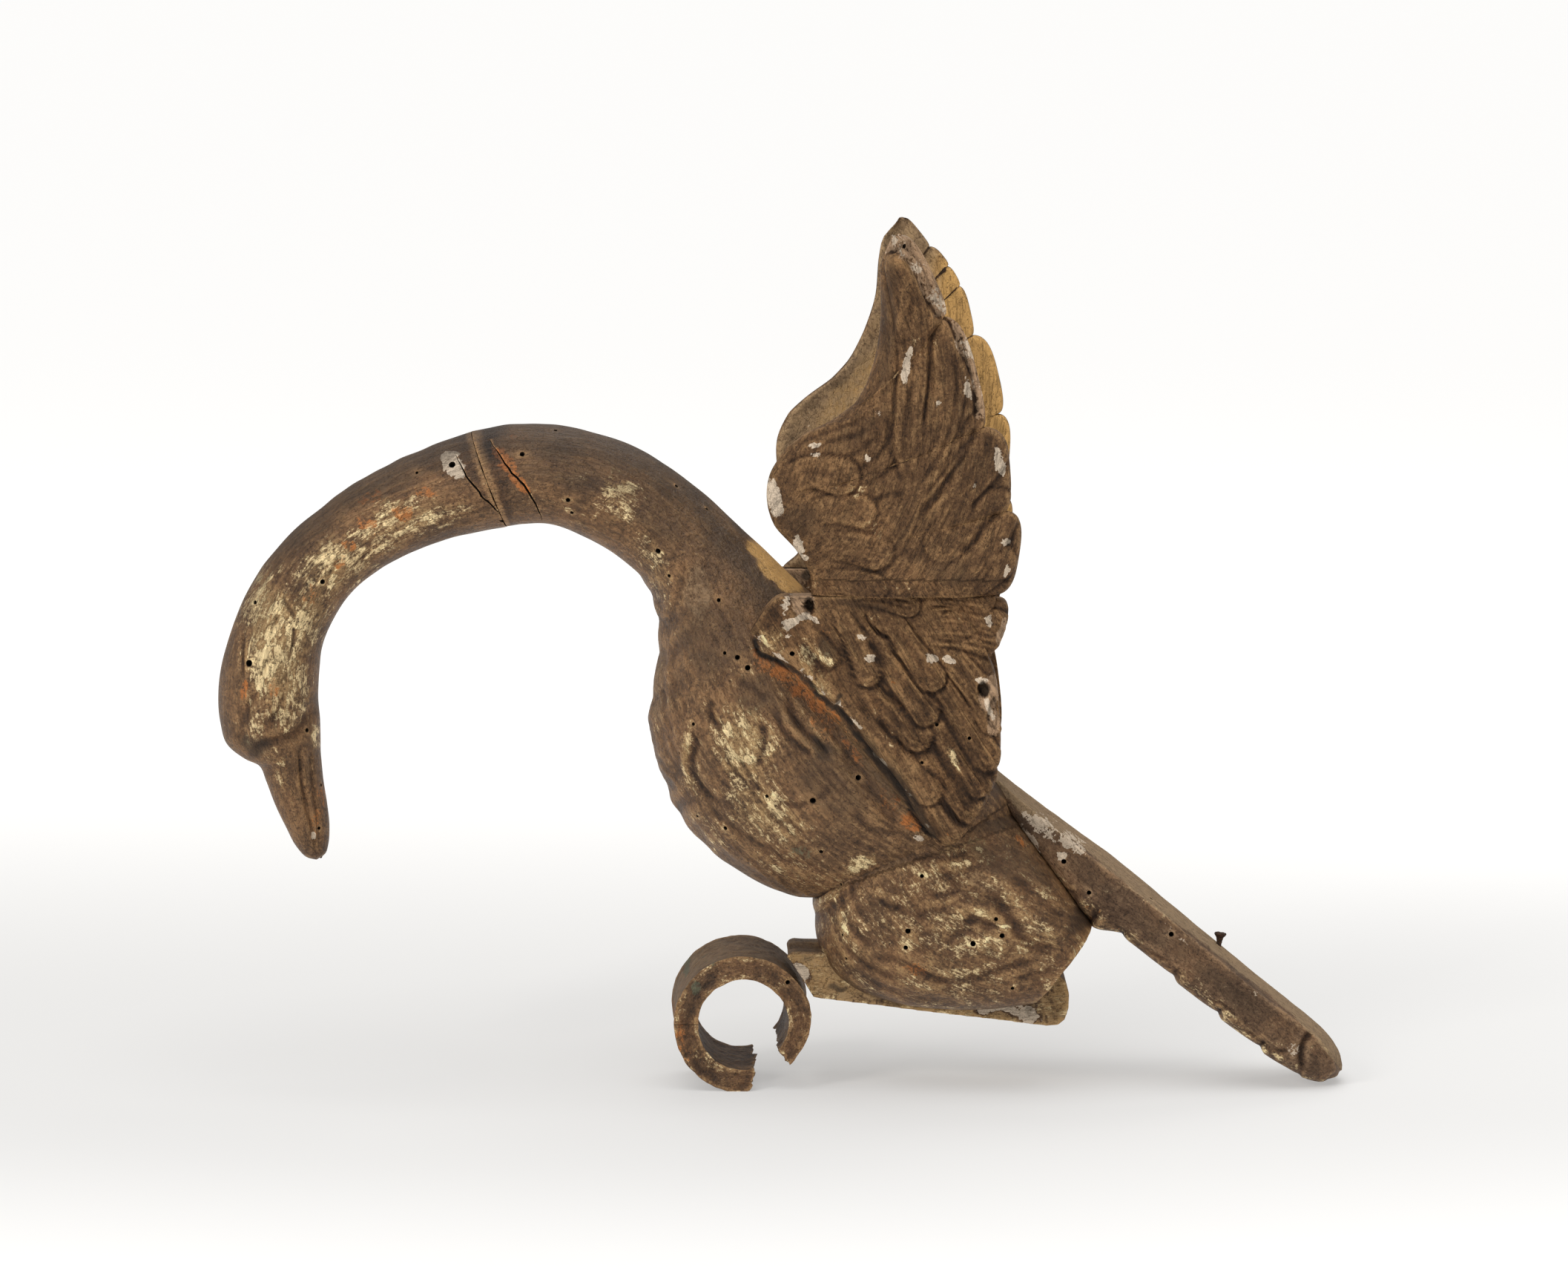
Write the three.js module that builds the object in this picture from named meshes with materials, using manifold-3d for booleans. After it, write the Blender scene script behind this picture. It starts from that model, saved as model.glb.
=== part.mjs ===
// Gilded wooden swan: a carved fragment with a long bent neck, raised wings and a broken scroll under it.
// Millimetres. +X runs from the head to the tail, +Y to the swan's right, +Z up. The swan stands on the
// lowest part of its broken scroll ring and on the tip of its tail, and the origin is under its middle.
import * as THREE from 'three';
import { mergeVertices } from 'three/addons/utils/BufferGeometryUtils.js';
import Module from 'manifold-3d';

const wasm = await Module();
wasm.setup();

const fittingGap = 0.3;
// The drawing's x at the middle of the swan's length, which becomes the origin.
const middleOfLength = 0.9;

// A station is one cross-section: its back and front edge points in the side view, the half width across,
// how square its back and front halves are (2 is round), and where it is widest (-1 front, 1 back).
function station(back, front, halfWidth, { square = 2, squareFront = 2, widest = 0 } = {}) {
  return [...back, ...front, halfWidth, square, squareFront, widest];
}

const headStations = [
  station([-188.4, 91.2], [-187.2, 91.6], 2.2),
  station([-191.8, 92.0], [-184.8, 93.2], 4.6),
  station([-196.3, 96.6], [-183.3, 97.2], 7.2),
  station([-200.4, 104.5], [-182.8, 105.0], 9.4),
  station([-204.6, 113.5], [-183.6, 114.0], 10.8),
  station([-208.2, 123.5], [-185.0, 124.0], 12.0),
  station([-211.0, 129.8], [-185.6, 130.4], 13.2),
  station([-217.0, 132.8], [-186.0, 135.2], 15.4),
  station([-223.6, 138.2], [-186.0, 140.8], 17.6),
  station([-226.4, 147.0], [-186.2, 148.6], 19.4),
  station([-227.2, 158.0], [-186.8, 159.0], 20.0),
  station([-225.6, 171.6], [-186.2, 169.6], 19.6),
  station([-220.4, 188.4], [-184.6, 179.4], 18.8),
  station([-211.8, 206.0], [-180.2, 190.0], 17.8),
  station([-199.2, 222.6], [-173.4, 199.6], 17.2),
  station([-183.0, 236.2], [-162.6, 208.6], 17.2),
  station([-165.8, 248.0], [-148.4, 216.2], 17.6),
  station([-146.2, 257.4], [-131.4, 222.6], 18.4),
  station([-124.2, 265.2], [-110.0, 227.0], 19.4),
];

const breastStations = [
  station([-123.9, 265.4], [-109.6, 227.2], 19.4),
  station([-105.6, 268.4], [-103.0, 228.0], 20.0),
  station([-84.5, 267.2], [-91.0, 227.4], 20.2),
  station([-61.8, 260.6], [-78.5, 222.6], 20.8),
  station([-43.2, 250.2], [-66.0, 215.6], 21.6),
  station([-25.4, 235.8], [-55.4, 206.2], 23.4, { square: 2.1 }),
  station([-9.4, 220.2], [-49.8, 193.4], 28.0, { square: 2.4 }),
  station([5.8, 205.2], [-48.8, 178.0], 34.0, { square: 3.0 }),
  station([22.0, 189.4], [-51.0, 162.0], 40.0, { square: 3.6, widest: 0.1 }),
  station([40.0, 171.8], [-52.8, 146.0], 44.6, { square: 4.0, widest: 0.15 }),
  station([58.0, 154.4], [-48.8, 129.6], 46.8, { square: 4.2, widest: 0.2 }),
  station([74.0, 139.0], [-40.0, 109.4], 47.0, { square: 4.0, widest: 0.2 }),
  station([86.0, 127.2], [-24.4, 92.4], 45.4, { square: 3.4, widest: 0.15 }),
  station([93.0, 118.0], [-3.0, 79.8], 41.0, { square: 3.0, widest: 0.1 }),
  station([94.0, 108.0], [14.0, 76.4], 33.0, { square: 2.6 }),
  station([84.0, 100.0], [32.0, 80.0], 22.0),
  station([66.0, 93.0], [52.0, 88.0], 7.0),
];

const rumpStations = [
  station([52.0, 112.0], [25.0, 94.0], 20.0),
  station([62.0, 124.0], [16.6, 82.0], 31.0, { square: 2.4, squareFront: 2.4 }),
  station([74.0, 131.0], [14.6, 68.0], 38.0, { square: 2.6, squareFront: 2.6 }),
  station([85.0, 125.0], [17.4, 53.4], 41.4, { square: 2.8, squareFront: 2.8 }),
  station([95.0, 112.6], [27.0, 41.4], 42.6, { square: 2.8, squareFront: 2.8 }),
  station([104.6, 99.4], [45.0, 34.4], 43.0, { square: 2.8, squareFront: 2.8 }),
  station([112.6, 88.4], [66.0, 31.8], 42.4, { square: 2.8, squareFront: 2.8 }),
  station([120.0, 78.0], [85.4, 31.8], 40.6, { square: 2.8, squareFront: 2.8 }),
  station([127.0, 67.6], [100.8, 34.2], 38.0, { square: 2.8, squareFront: 2.8 }),
];

const board = { square: 1.3, squareFront: 6, widest: 0.72 };
const tailStations = [
  station([87.6, 127.0], [86.0, 123.6], 18.0, board),
  station([96.0, 120.6], [92.4, 112.6], 20.5, board),
  station([107.0, 112.6], [103.0, 97.6], 22.0, board),
  station([122.0, 101.8], [114.6, 81.6], 23.0, board),
  station([136.0, 91.6], [125.6, 66.4], 23.6, board),
  station([152.0, 78.4], [138.4, 61.8], 24.2, board),
  station([176.0, 58.4], [162.0, 42.2], 25.0, board),
  station([198.0, 40.2], [183.4, 24.4], 25.4, board),
  station([212.0, 28.8], [197.0, 13.4], 25.0, { square: 1.3, squareFront: 6, widest: 0.8 }),
  station([221.6, 20.6], [207.0, 6.4], 22.4, { square: 1.4, squareFront: 5, widest: 0.75 }),
  station([227.0, 13.6], [214.6, 2.2], 18.0, { square: 1.6, squareFront: 4, widest: 0.5 }),
  station([229.0, 6.6], [220.6, 0.0], 11.5, { squareFront: 3, widest: 0.2 }),
  station([228.6, 2.2], [226.0, 0.4], 5.0),
];

// One number of a station row, smoothed through its neighbours, where time runs over the stations.
function smoothed(rows, column, time) {
  const last = rows.length - 1;
  const segment = Math.min(Math.floor(time), last - 1);
  const local = time - segment;
  const pick = (index) => rows[Math.min(Math.max(index, 0), last)];
  const middle = (row) => [(row[0] + row[2]) / 2, (row[1] + row[3]) / 2];
  const step = (one, other) => {
    const [a, b] = [middle(pick(one)), middle(pick(other))];
    return Math.max(Math.sqrt(Math.hypot(a[0] - b[0], a[1] - b[1])), 0.5);
  };
  const value = (index) => pick(index)[column];
  const [before, here, next, after] = [-1, 0, 1, 2].map((offset) => value(segment + offset));
  const inner = step(segment, segment + 1);
  const first = segment > 0 ? step(segment - 1, segment) : inner;
  const final = segment < last - 1 ? step(segment + 1, segment + 2) : inner;
  const [into, along, out] = [(here - before) / first, (next - here) / inner, (after - next) / final];
  const startSlope = inner * (into - (next - before) / (first + inner) + along);
  const endSlope = inner * (along - (after - here) / (inner + final) + out);
  const square = 3 * (next - here) - 2 * startSlope - endSlope;
  const cube = 2 * (here - next) + startSlope + endSlope;
  return here + startSlope * local + square * local ** 2 + cube * local ** 3;
}

// A point of a lofted body: share runs from its first station to its last, angle from the back edge round
// to the front edge, and reach from its middle line to its skin. A grown body stands that much proud.
function loftPoint(rows, share, angle, reach, grown) {
  const time = share * (rows.length - 1);
  const [backX, backZ, frontX, frontZ, half, square, squareFront, widest] = rows[0].map((_, column) =>
    smoothed(rows, column, time));
  const tidy = (value) => (Math.abs(value) < 1e-9 ? 0 : value);
  const [cosine, sine] = [tidy(Math.cos(angle)), tidy(Math.sin(angle))];
  const power = 2 / (cosine > 0 ? square : squareFront);
  const along = Math.sign(cosine) * Math.abs(cosine) ** power;
  const across = Math.sign(sine) * Math.abs(sine) ** power;
  const depth = along > 0 ? widest + (1 - widest) * along : widest + (1 + widest) * along;
  const radius = Math.hypot(backX - frontX, backZ - frontZ) / 2;
  const stretch = (radius + grown) / radius / 2;
  const lift = depth * reach * stretch;
  return [
    (backX + frontX) / 2 + (backX - frontX) * lift,
    across * reach * (half + grown),
    (backZ + frontZ) / 2 + (backZ - frontZ) * lift,
  ];
}

// Moves every corner of a closed three.js shape by a rule and returns it as a solid.
function shaped(geometry, place) {
  const points = geometry.getAttribute('position');
  for (let index = 0; index < points.count; index += 1) {
    points.setXYZ(index, ...place(points.getX(index), points.getY(index), points.getZ(index)));
  }
  return solidOf(geometry);
}

function solidOf(geometry) {
  geometry.deleteAttribute('normal');
  geometry.deleteAttribute('uv');
  const merged = mergeVertices(geometry, 1e-4);
  const vertProperties = new Float32Array(merged.getAttribute('position').array);
  const triVerts = new Uint32Array(merged.index.array);
  if (signedVolume(vertProperties, triVerts) < 0) {
    for (let corner = 0; corner < triVerts.length; corner += 3) {
      [triVerts[corner], triVerts[corner + 1]] = [triVerts[corner + 1], triVerts[corner]];
    }
  }
  return new wasm.Manifold(new wasm.Mesh({ numProp: 3, vertProperties, triVerts }));
}

function signedVolume(vertices, triangles) {
  const [a, b, c] = [new THREE.Vector3(), new THREE.Vector3(), new THREE.Vector3()];
  let total = 0;
  for (let corner = 0; corner < triangles.length; corner += 3) {
    a.fromArray(vertices, triangles[corner] * 3);
    b.fromArray(vertices, triangles[corner + 1] * 3);
    c.fromArray(vertices, triangles[corner + 2] * 3);
    total += a.dot(b.cross(c));
  }
  return total;
}

function loft(rows, rings, sides, grown = 0) {
  const rod = new THREE.CylinderGeometry(1, 1, 1, sides, rings);
  return shaped(rod, (x, y, z) => {
    const reach = Math.min(Math.hypot(x, z), 1);
    return loftPoint(rows, y + 0.5, Math.atan2(z, x), reach, grown);
  });
}

// Wings. A notch is a point of the feathered edge. The lobe that follows it swells outwards by its bulge,
// more towards the next notch where it leans, and its feather starts at the height called root on the
// other edge.
const wingHeight = { seam: 205, tip: 348 };

const nearLeadingEdge = [
  [12.6, 205], [12.0, 213.5], [6.4, 223.0], [-2.0, 232.6], [-5.0, 243], [-3.8, 253], [2.8, 263.6],
  [10.2, 269.4], [20.4, 274.4], [30.0, 281.6], [35.4, 292], [38.8, 306], [39.9, 320], [39.6, 336],
  [44.0, 348],
];
const nearNotches = [
  { x: 83.7, z: 205, root: 205, bulge: 9.4, lean: 0.05 },
  { x: 87.4, z: 238.4, root: 222, bulge: 8.2, lean: 0.4 },
  { x: 78.4, z: 271.8, root: 244, bulge: 7.2, lean: 0.3 },
  { x: 62.8, z: 315.8, root: 280, bulge: 5.6, lean: 0.05 },
  { x: 47.0, z: 348, root: 348 },
];
const farLeadingEdge = [
  [1.4, 205], [7.6, 211], [7.6, 223], [1.6, 234], [-1.0, 246], [-1.0, 258], [3.8, 268.4], [11.0, 275],
  [21.4, 282.6], [28.6, 290.4], [34.6, 302], [39.2, 316], [40.7, 332], [42.6, 340], [49.0, 348],
];
const farNotches = [
  { x: 84.0, z: 205, root: 205, bulge: 9.4, lean: 0.05 },
  { x: 87.4, z: 236, root: 222, bulge: 6.8, lean: 0.1 },
  { x: 88.2, z: 268, root: 244, bulge: 6.6, lean: 0.15 },
  { x: 78.6, z: 300.2, root: 266, bulge: 2.6, lean: 0.2 },
  { x: 73.0, z: 320.2, root: 284, bulge: 2.2, lean: 0.1 },
  { x: 68.0, z: 328.4, root: 300, bulge: 2.8, lean: 0.1 },
  { x: 61.0, z: 336.4, root: 314, bulge: 1.6, lean: 0.1 },
  { x: 51.4, z: 348, root: 348 },
];

const bladeOffset = { seam: 50.5, tip: 61.5 };
const bladeThickness = { seam: 11, tip: 7, edge: 4.6 };
const bladeCamber = 5;
const featherRidge = 1.4;

// Where a smooth edge of [x, z] points, listed upwards, stands at a height.
function edgeAt(points, height) {
  const index = Math.max(points.findIndex((point) => point[1] >= height), 1);
  const share = (height - points[index - 1][1]) / (points[index][1] - points[index - 1][1]);
  const rows = points.map(([x, z]) => [x, z, x, z]);
  return smoothed(rows, 0, index - 1 + THREE.MathUtils.clamp(share, 0, 1));
}

// A point of the feathered edge, and the root of its feather, by lobe number and share of that lobe.
function feathered(notches, lobe, share) {
  const [low, high] = [notches[lobe], notches[lobe + 1]];
  const swell = Math.cbrt(Math.max(1 - Math.abs(2 * share - 1) ** 3, 0));
  return {
    x: low.x + (high.x - low.x) * share + low.bulge * swell * (1 + low.lean * (2 * share - 1)),
    z: low.z + (high.z - low.z) * share,
    root: low.root + (high.root - low.root) * share,
    ridge: Math.sin(share * Math.PI) ** 0.7,
  };
}

// The rows of a feathered plate: each lobe has the same number of them, closer together at its notches.
function featherRows(notches, rowsPerLobe) {
  const rows = [feathered(notches, 0, 0)];
  for (let lobe = 0; lobe < notches.length - 1; lobe += 1) {
    for (let row = 1; row <= rowsPerLobe; row += 1) {
      rows.push(feathered(notches, lobe, (1 - Math.cos((row / rowsPerLobe) * Math.PI)) / 2));
    }
  }
  return rows;
}

// A carved blade: a plate that bows outwards and is hollow on its inner side, with its feathers as low
// ridges on the outer side. Side is -1 on the near wing and 1 on the far wing.
function wingBlade(leading, notches, side) {
  const rows = featherRows(notches, notches.length > 5 ? 4 : 6);
  const steps = rows.length - 1;
  const plate = new THREE.BoxGeometry(1, 1, 1, 9, steps, 1);
  return shaped(plate, (x, y, z) => {
    const row = rows[Math.round((y + 0.5) * steps)];
    const chord = x + 0.5;
    const front = edgeAt(leading, row.root);
    const height = row.root + (row.z - row.root) * chord ** 1.4;
    const rise = (height - wingHeight.seam) / (wingHeight.tip - wingHeight.seam);
    const bow = Math.sin(chord * Math.PI);
    const middle = bladeOffset.seam + (bladeOffset.tip - bladeOffset.seam) * rise ** 1.5 + bladeCamber * bow;
    const full = bladeThickness.seam + (bladeThickness.tip - bladeThickness.seam) * rise;
    const thickness = bladeThickness.edge + (full - bladeThickness.edge) * Math.sqrt(Math.max(bow, 0));
    const ridge = z > 0 ? featherRidge * row.ridge * chord : 0;
    return [front + (row.x - front) * chord, side * (middle + z * thickness + ridge), height];
  });
}

// The applied shoulder and flank feathers below each blade. Each feather starts on the seam under the blade,
// at the place called root, and ends in its lobe of the lower edge.
const rootSeam = wingHeight.seam - fittingGap;
const rootStart = { x: -11.5, z: 190 };
const rootNotches = [
  { x: 64.0, z: 104, root: 0, bulge: 4.6, lean: 0.1 },
  { x: 74.6, z: 116, root: 0.24, bulge: 3.4, lean: 0.1 },
  { x: 80.4, z: 125.6, root: 0.42, bulge: 3.6, lean: 0.1 },
  { x: 84.0, z: 136.2, root: 0.58, bulge: 5.6, lean: 0.15 },
  { x: 79.4, z: 180.8, root: 0.86, bulge: 7.4, lean: 0.2 },
  { x: 84.0, z: 203.6, root: 1 },
];
const rootCorner = { x: 83.4, rise: 0.14 };
const rootDepth = { outer: 57.5, front: 52.5, inner: 42.5 };
const farRootReach = 4;

function wingRoot(side) {
  const rows = featherRows(rootNotches, 5);
  const steps = rows.length - 1;
  const plate = new THREE.BoxGeometry(1, 1, 1, steps, 7, 1);
  return shaped(plate, (x, y, z) => {
    const row = rows[Math.round((x + 0.5) * steps)];
    const run = y + 0.5;
    const climb = Math.min(row.root / rootCorner.rise, 1);
    const top = {
      x: rootStart.x + (rootCorner.x - rootStart.x) * row.root,
      z: rootStart.z + (rootSeam - rootStart.z) * Math.sin((climb * Math.PI) / 2),
    };
    const reach = row.x + (side > 0 ? farRootReach * Math.sin(row.root * Math.PI) : 0);
    const swell = Math.sqrt(Math.sin(row.root * Math.PI));
    const crown = rootDepth.front + (rootDepth.outer - rootDepth.front) * swell;
    const outer = crown + featherRidge * row.ridge * run;
    return [
      top.x + (reach - top.x) * run,
      side * (z > 0 ? outer : rootDepth.inner),
      top.z + (row.z - top.z) * run ** 1.08,
    ];
  });
}

// Scroll: a broken ring and the straight rail behind it.
const ring = { x: -14.6, z: 27.3, outer: 27.9, inner: 18.4, halfWidth: 24, hollow: 1.2 };
const ringBreak = { lower: -88, upper: -38, thinning: 3 };
const rail = { halfWidth: 17, underFront: [13.8, 37.1], underRear: [108, 25.6] };

function scrollCurl() {
  const sweep = 360 - (ringBreak.upper - ringBreak.lower);
  const bar = new THREE.BoxGeometry(1, 1, 1, 36, 1, 4);
  return shaped(bar, (x, y, z) => {
    const angle = THREE.MathUtils.degToRad(ringBreak.lower - (x + 0.5) * sweep);
    const rim = Math.abs(2 * z) ** 4;
    const taper = Math.max(0, x - 0.35) / 0.15;
    const outer = ring.outer - ring.hollow * (1 - rim) - ringBreak.thinning * taper;
    const radius = y > 0 ? outer : ring.inner - (ringBreak.thinning / 3) * taper;
    return [
      ring.x + radius * Math.cos(angle),
      2 * z * ring.halfWidth,
      Math.max(ring.z + radius * Math.sin(angle), 0),
    ];
  });
}

function scrollPlank(grown = 0, lift = 0) {
  const outline = new THREE.Shape();
  outline.moveTo(...rail.underFront);
  outline.lineTo(...rail.underRear);
  outline.quadraticCurveTo(115, 24.8, 116.8, 32.5);
  outline.quadraticCurveTo(118, 44.6, 112.4, 47.4);
  outline.lineTo(20, 55.4);
  outline.lineTo(5.4, 56);
  outline.quadraticCurveTo(2.4, 54.6, 4.6, 52);
  const across = 2 * (rail.halfWidth + grown);
  const plank = new THREE.ExtrudeGeometry(outline, { depth: across, bevelEnabled: false, curveSegments: 5 });
  return shaped(plank, (x, y, z) => [x, z - across / 2, y + lift]);
}

// The long shallow hollow between the two rims of the rail's top.
const hollow = { from: 2, length: 130, halfWidth: 9, depth: 4.6, top: 58.6, fall: 9.4 };

function railHollow() {
  const rod = new THREE.CylinderGeometry(1, 1, 1, 16, 1);
  return shaped(rod, (x, y, z) => {
    const run = y + 0.5;
    const height = hollow.top - run * hollow.fall + z * hollow.depth;
    return [hollow.from + run * hollow.length, x * hollow.halfWidth, height];
  });
}

function scrollBore(radius) {
  const rod = new THREE.CylinderGeometry(radius, radius, 4 * ring.halfWidth, 44, 1);
  return shaped(rod, (x, y, z) => [ring.x + x, y, ring.z + z]);
}

// Iron nail in the tail and pin at the beak's tip.
const nail = { x: 178.4, y: -4, z: 56.6, lean: 0.12, radius: 1.0, headRadius: 2.5, length: 5.4, sunk: 9 };
const pin = { x: -186.6, z: 93.2, radius: 0.7, length: 3.4, lean: 0.25 };

function tailNail(grown = 0) {
  const [shank, head] = [nail.radius + grown, nail.headRadius + grown];
  const profile = [
    new THREE.Vector2(0, -nail.sunk - grown),
    new THREE.Vector2(shank * 0.6, -nail.sunk - grown),
    new THREE.Vector2(shank, 0),
    new THREE.Vector2(shank, nail.length - 1.2),
    new THREE.Vector2(head, nail.length - 0.9),
    new THREE.Vector2(head * 0.8, nail.length),
    new THREE.Vector2(0, nail.length),
  ];
  const turned = new THREE.LatheGeometry(profile, 10);
  return shaped(turned, (x, y, z) => [nail.x + x + y * nail.lean, nail.y + z, nail.z + y]);
}

function beakPin(grown = 0) {
  const radius = pin.radius + grown;
  const rod = new THREE.CylinderGeometry(radius, radius, pin.length + 2 * grown, 8);
  return shaped(rod, (x, y, z) => [pin.x + x + y * pin.lean, z, pin.z - pin.length / 2 + y]);
}

const bodySides = 22;

function bodyBlock(grown = 0) {
  return loft(breastStations, 36, bodySides, grown).add(loft(rumpStations, 14, bodySides, grown));
}

// The rump sits over the rail in a channel cut through it from below.
const railChannel = scrollPlank(fittingGap, fittingGap).add(scrollPlank(fittingGap, -3));
const bodySpace = bodyBlock(fittingGap);
const solids = {
  body: bodyBlock().subtract(railChannel),
  head_neck: loft(headStations, 36, 18).subtract(beakPin(fittingGap)),
  wing_blade_left: wingBlade(nearLeadingEdge, nearNotches, -1),
  wing_blade_right: wingBlade(farLeadingEdge, farNotches, 1),
  wing_root_left: wingRoot(-1).subtract(bodySpace),
  wing_root_right: wingRoot(1).subtract(bodySpace),
  tail: loft(tailStations, 30, 18).subtract(bodySpace).subtract(tailNail(fittingGap)),
  scroll_rail: scrollPlank().subtract(scrollBore(ring.outer + fittingGap)).subtract(railHollow()),
  scroll_curl: scrollCurl(),
  tail_nail: tailNail(),
  beak_pin: beakPin(),
};

// Colours, roughness and metalness of the finishes.
const finishes = {
  gilt: { color: 0x6b5230, roughness: 0.55, metalness: 0.35 },
  ochre: { color: 0x7d6034, roughness: 0.7, metalness: 0.15 },
  iron: { color: 0x33251c, roughness: 0.85, metalness: 0.5 },
};
const finishOf = { tail: 'ochre', tail_nail: 'iron', beak_pin: 'iron' };

const group = new THREE.Group();
for (const [name, solid] of Object.entries(solids)) {
  const { vertProperties, triVerts } = solid.getMesh();
  const geometry = new THREE.BufferGeometry();
  geometry.setAttribute('position', new THREE.BufferAttribute(new Float32Array(vertProperties), 3));
  geometry.setIndex(new THREE.BufferAttribute(new Uint32Array(triVerts), 1));
  const mesh = new THREE.Mesh(geometry, new THREE.MeshStandardMaterial(finishes[finishOf[name] ?? 'gilt']));
  mesh.name = name;
  group.add(mesh);
}

group.position.x = -middleOfLength;
group.updateMatrixWorld(true);

export default group;
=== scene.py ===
"""Gilded wooden swan: the carved and gilded fragment as it looks today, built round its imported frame.

Lengths in the tables are millimetres of the swan's drawing: +X from the head to the tail, +Y to the
swan's right, +Z up. The main view looks at the swan's left side, the side of negative Y. Places named by
two numbers are x and z where that view meets the swan's middle plane.
"""

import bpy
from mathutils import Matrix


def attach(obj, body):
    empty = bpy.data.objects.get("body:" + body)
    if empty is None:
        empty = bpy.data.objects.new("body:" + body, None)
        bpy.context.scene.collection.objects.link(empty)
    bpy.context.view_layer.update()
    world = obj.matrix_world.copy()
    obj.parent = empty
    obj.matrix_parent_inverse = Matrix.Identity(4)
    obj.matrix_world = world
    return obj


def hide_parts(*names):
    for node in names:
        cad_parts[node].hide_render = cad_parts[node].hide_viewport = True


bl_info = {
    "name": "Gilded wooden swan",
    "version": (1, 0, 0),
    "blender": (4, 5, 0),
    "location": "3D View > Sidebar > Swan",
    "description": "Builds a carved and gilded wooden swan, piece by piece, on its packed frame",
    "category": "Add Mesh",
}

from itertools import product
from math import cos, pi, radians, sin, tau

import bmesh
import bpy
import numpy as np
from bpy.props import FloatProperty, FloatVectorProperty, PointerProperty
from mathutils import Matrix, Vector
from mathutils.bvhtree import BVHTree

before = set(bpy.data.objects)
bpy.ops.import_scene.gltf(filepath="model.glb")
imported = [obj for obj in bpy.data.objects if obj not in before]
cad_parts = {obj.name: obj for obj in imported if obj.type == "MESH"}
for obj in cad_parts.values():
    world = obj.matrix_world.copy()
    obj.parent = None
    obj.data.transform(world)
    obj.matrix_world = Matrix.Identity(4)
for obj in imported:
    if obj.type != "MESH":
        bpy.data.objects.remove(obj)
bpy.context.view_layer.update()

MILLIMETRE = 0.001
ORIGIN = (0.9, 0, 0)
VIEW_DISTANCE = 2600
VIEW_ELEVATION = radians(6.9)
VIEW_TARGET = np.array([1.8, 0, 179.147])
VIEW_LENS = 147.6
SENSOR_WIDTH = 36
CLIPPING = (0.1, 100)
EYE = VIEW_TARGET + VIEW_DISTANCE * np.array([0, -cos(VIEW_ELEVATION), sin(VIEW_ELEVATION)])


def stations(*rows):
    """Cross-sections: x and z of the back, x and z of the front, the half width, how square the back and the
    front are, and where the widest place lies from the front, -1, to the back, 1. A section is round, and
    widest in its middle, unless its row says more."""
    return [(*row, *(2, 2, 0)[len(row) - 5:]) for row in rows]


HEAD = stations(
    (-188.4, 91.2, -187.2, 91.6, 2.2), (-191.8, 92, -184.8, 93.2, 4.6), (-196.3, 96.6, -183.3, 97.2, 7.2),
    (-200.4, 104.5, -182.8, 105, 9.4), (-204.6, 113.5, -183.6, 114, 10.8), (-208.2, 123.5, -185, 124, 12),
    (-211, 129.8, -185.6, 130.4, 13.2), (-217, 132.8, -186, 135.2, 15.4),
    (-223.6, 138.2, -186, 140.8, 17.6), (-226.4, 147, -186.2, 148.6, 19.4), (-227.2, 158, -186.8, 159, 20),
    (-225.6, 171.6, -186.2, 169.6, 19.6), (-220.4, 188.4, -184.6, 179.4, 18.8),
    (-211.8, 206, -180.2, 190, 17.8), (-199.2, 222.6, -173.4, 199.6, 17.2),
    (-183, 236.2, -162.6, 208.6, 17.2), (-165.8, 248, -148.4, 216.2, 17.6),
    (-146.2, 257.4, -131.4, 222.6, 18.4), (-124.2, 265.2, -110, 227, 19.4),
)
BREAST = stations(
    (-123.9, 265.4, -109.6, 227.2, 19.4), (-105.6, 268.4, -103, 228, 20), (-84.5, 267.2, -91, 227.4, 20.2),
    (-61.8, 260.6, -78.5, 222.6, 20.8), (-43.2, 250.2, -66, 215.6, 21.6),
    (-25.4, 235.8, -55.4, 206.2, 23.4, 2.1), (-9.4, 220.2, -49.8, 193.4, 28, 2.4),
    (5.8, 205.2, -48.8, 178, 34, 3), (22, 189.4, -51, 162, 40, 3.6, 2, 0.1),
    (40, 171.8, -52.8, 146, 44.6, 4, 2, 0.15), (58, 154.4, -48.8, 129.6, 46.8, 4.2, 2, 0.2),
    (74, 139, -40, 109.4, 47, 4, 2, 0.2), (86, 127.2, -24.4, 92.4, 45.4, 3.4, 2, 0.15),
    (93, 118, -3, 79.8, 41, 3, 2, 0.1), (94, 108, 14, 76.4, 33, 2.6), (84, 100, 32, 80, 22),
    (66, 93, 52, 88, 7),
)
RUMP = stations(
    (52, 112, 25, 94, 20), (62, 124, 16.6, 82, 31, 2.4, 2.4), (74, 131, 14.6, 68, 38, 2.6, 2.6),
    (85, 125, 17.4, 53.4, 41.4, 2.8, 2.8), (95, 112.6, 27, 41.4, 42.6, 2.8, 2.8),
    (104.6, 99.4, 45, 34.4, 43, 2.8, 2.8), (112.6, 88.4, 66, 31.8, 42.4, 2.8, 2.8),
    (120, 78, 85.4, 31.8, 40.6, 2.8, 2.8), (127, 67.6, 100.8, 34.2, 38, 2.8, 2.8),
)
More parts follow.
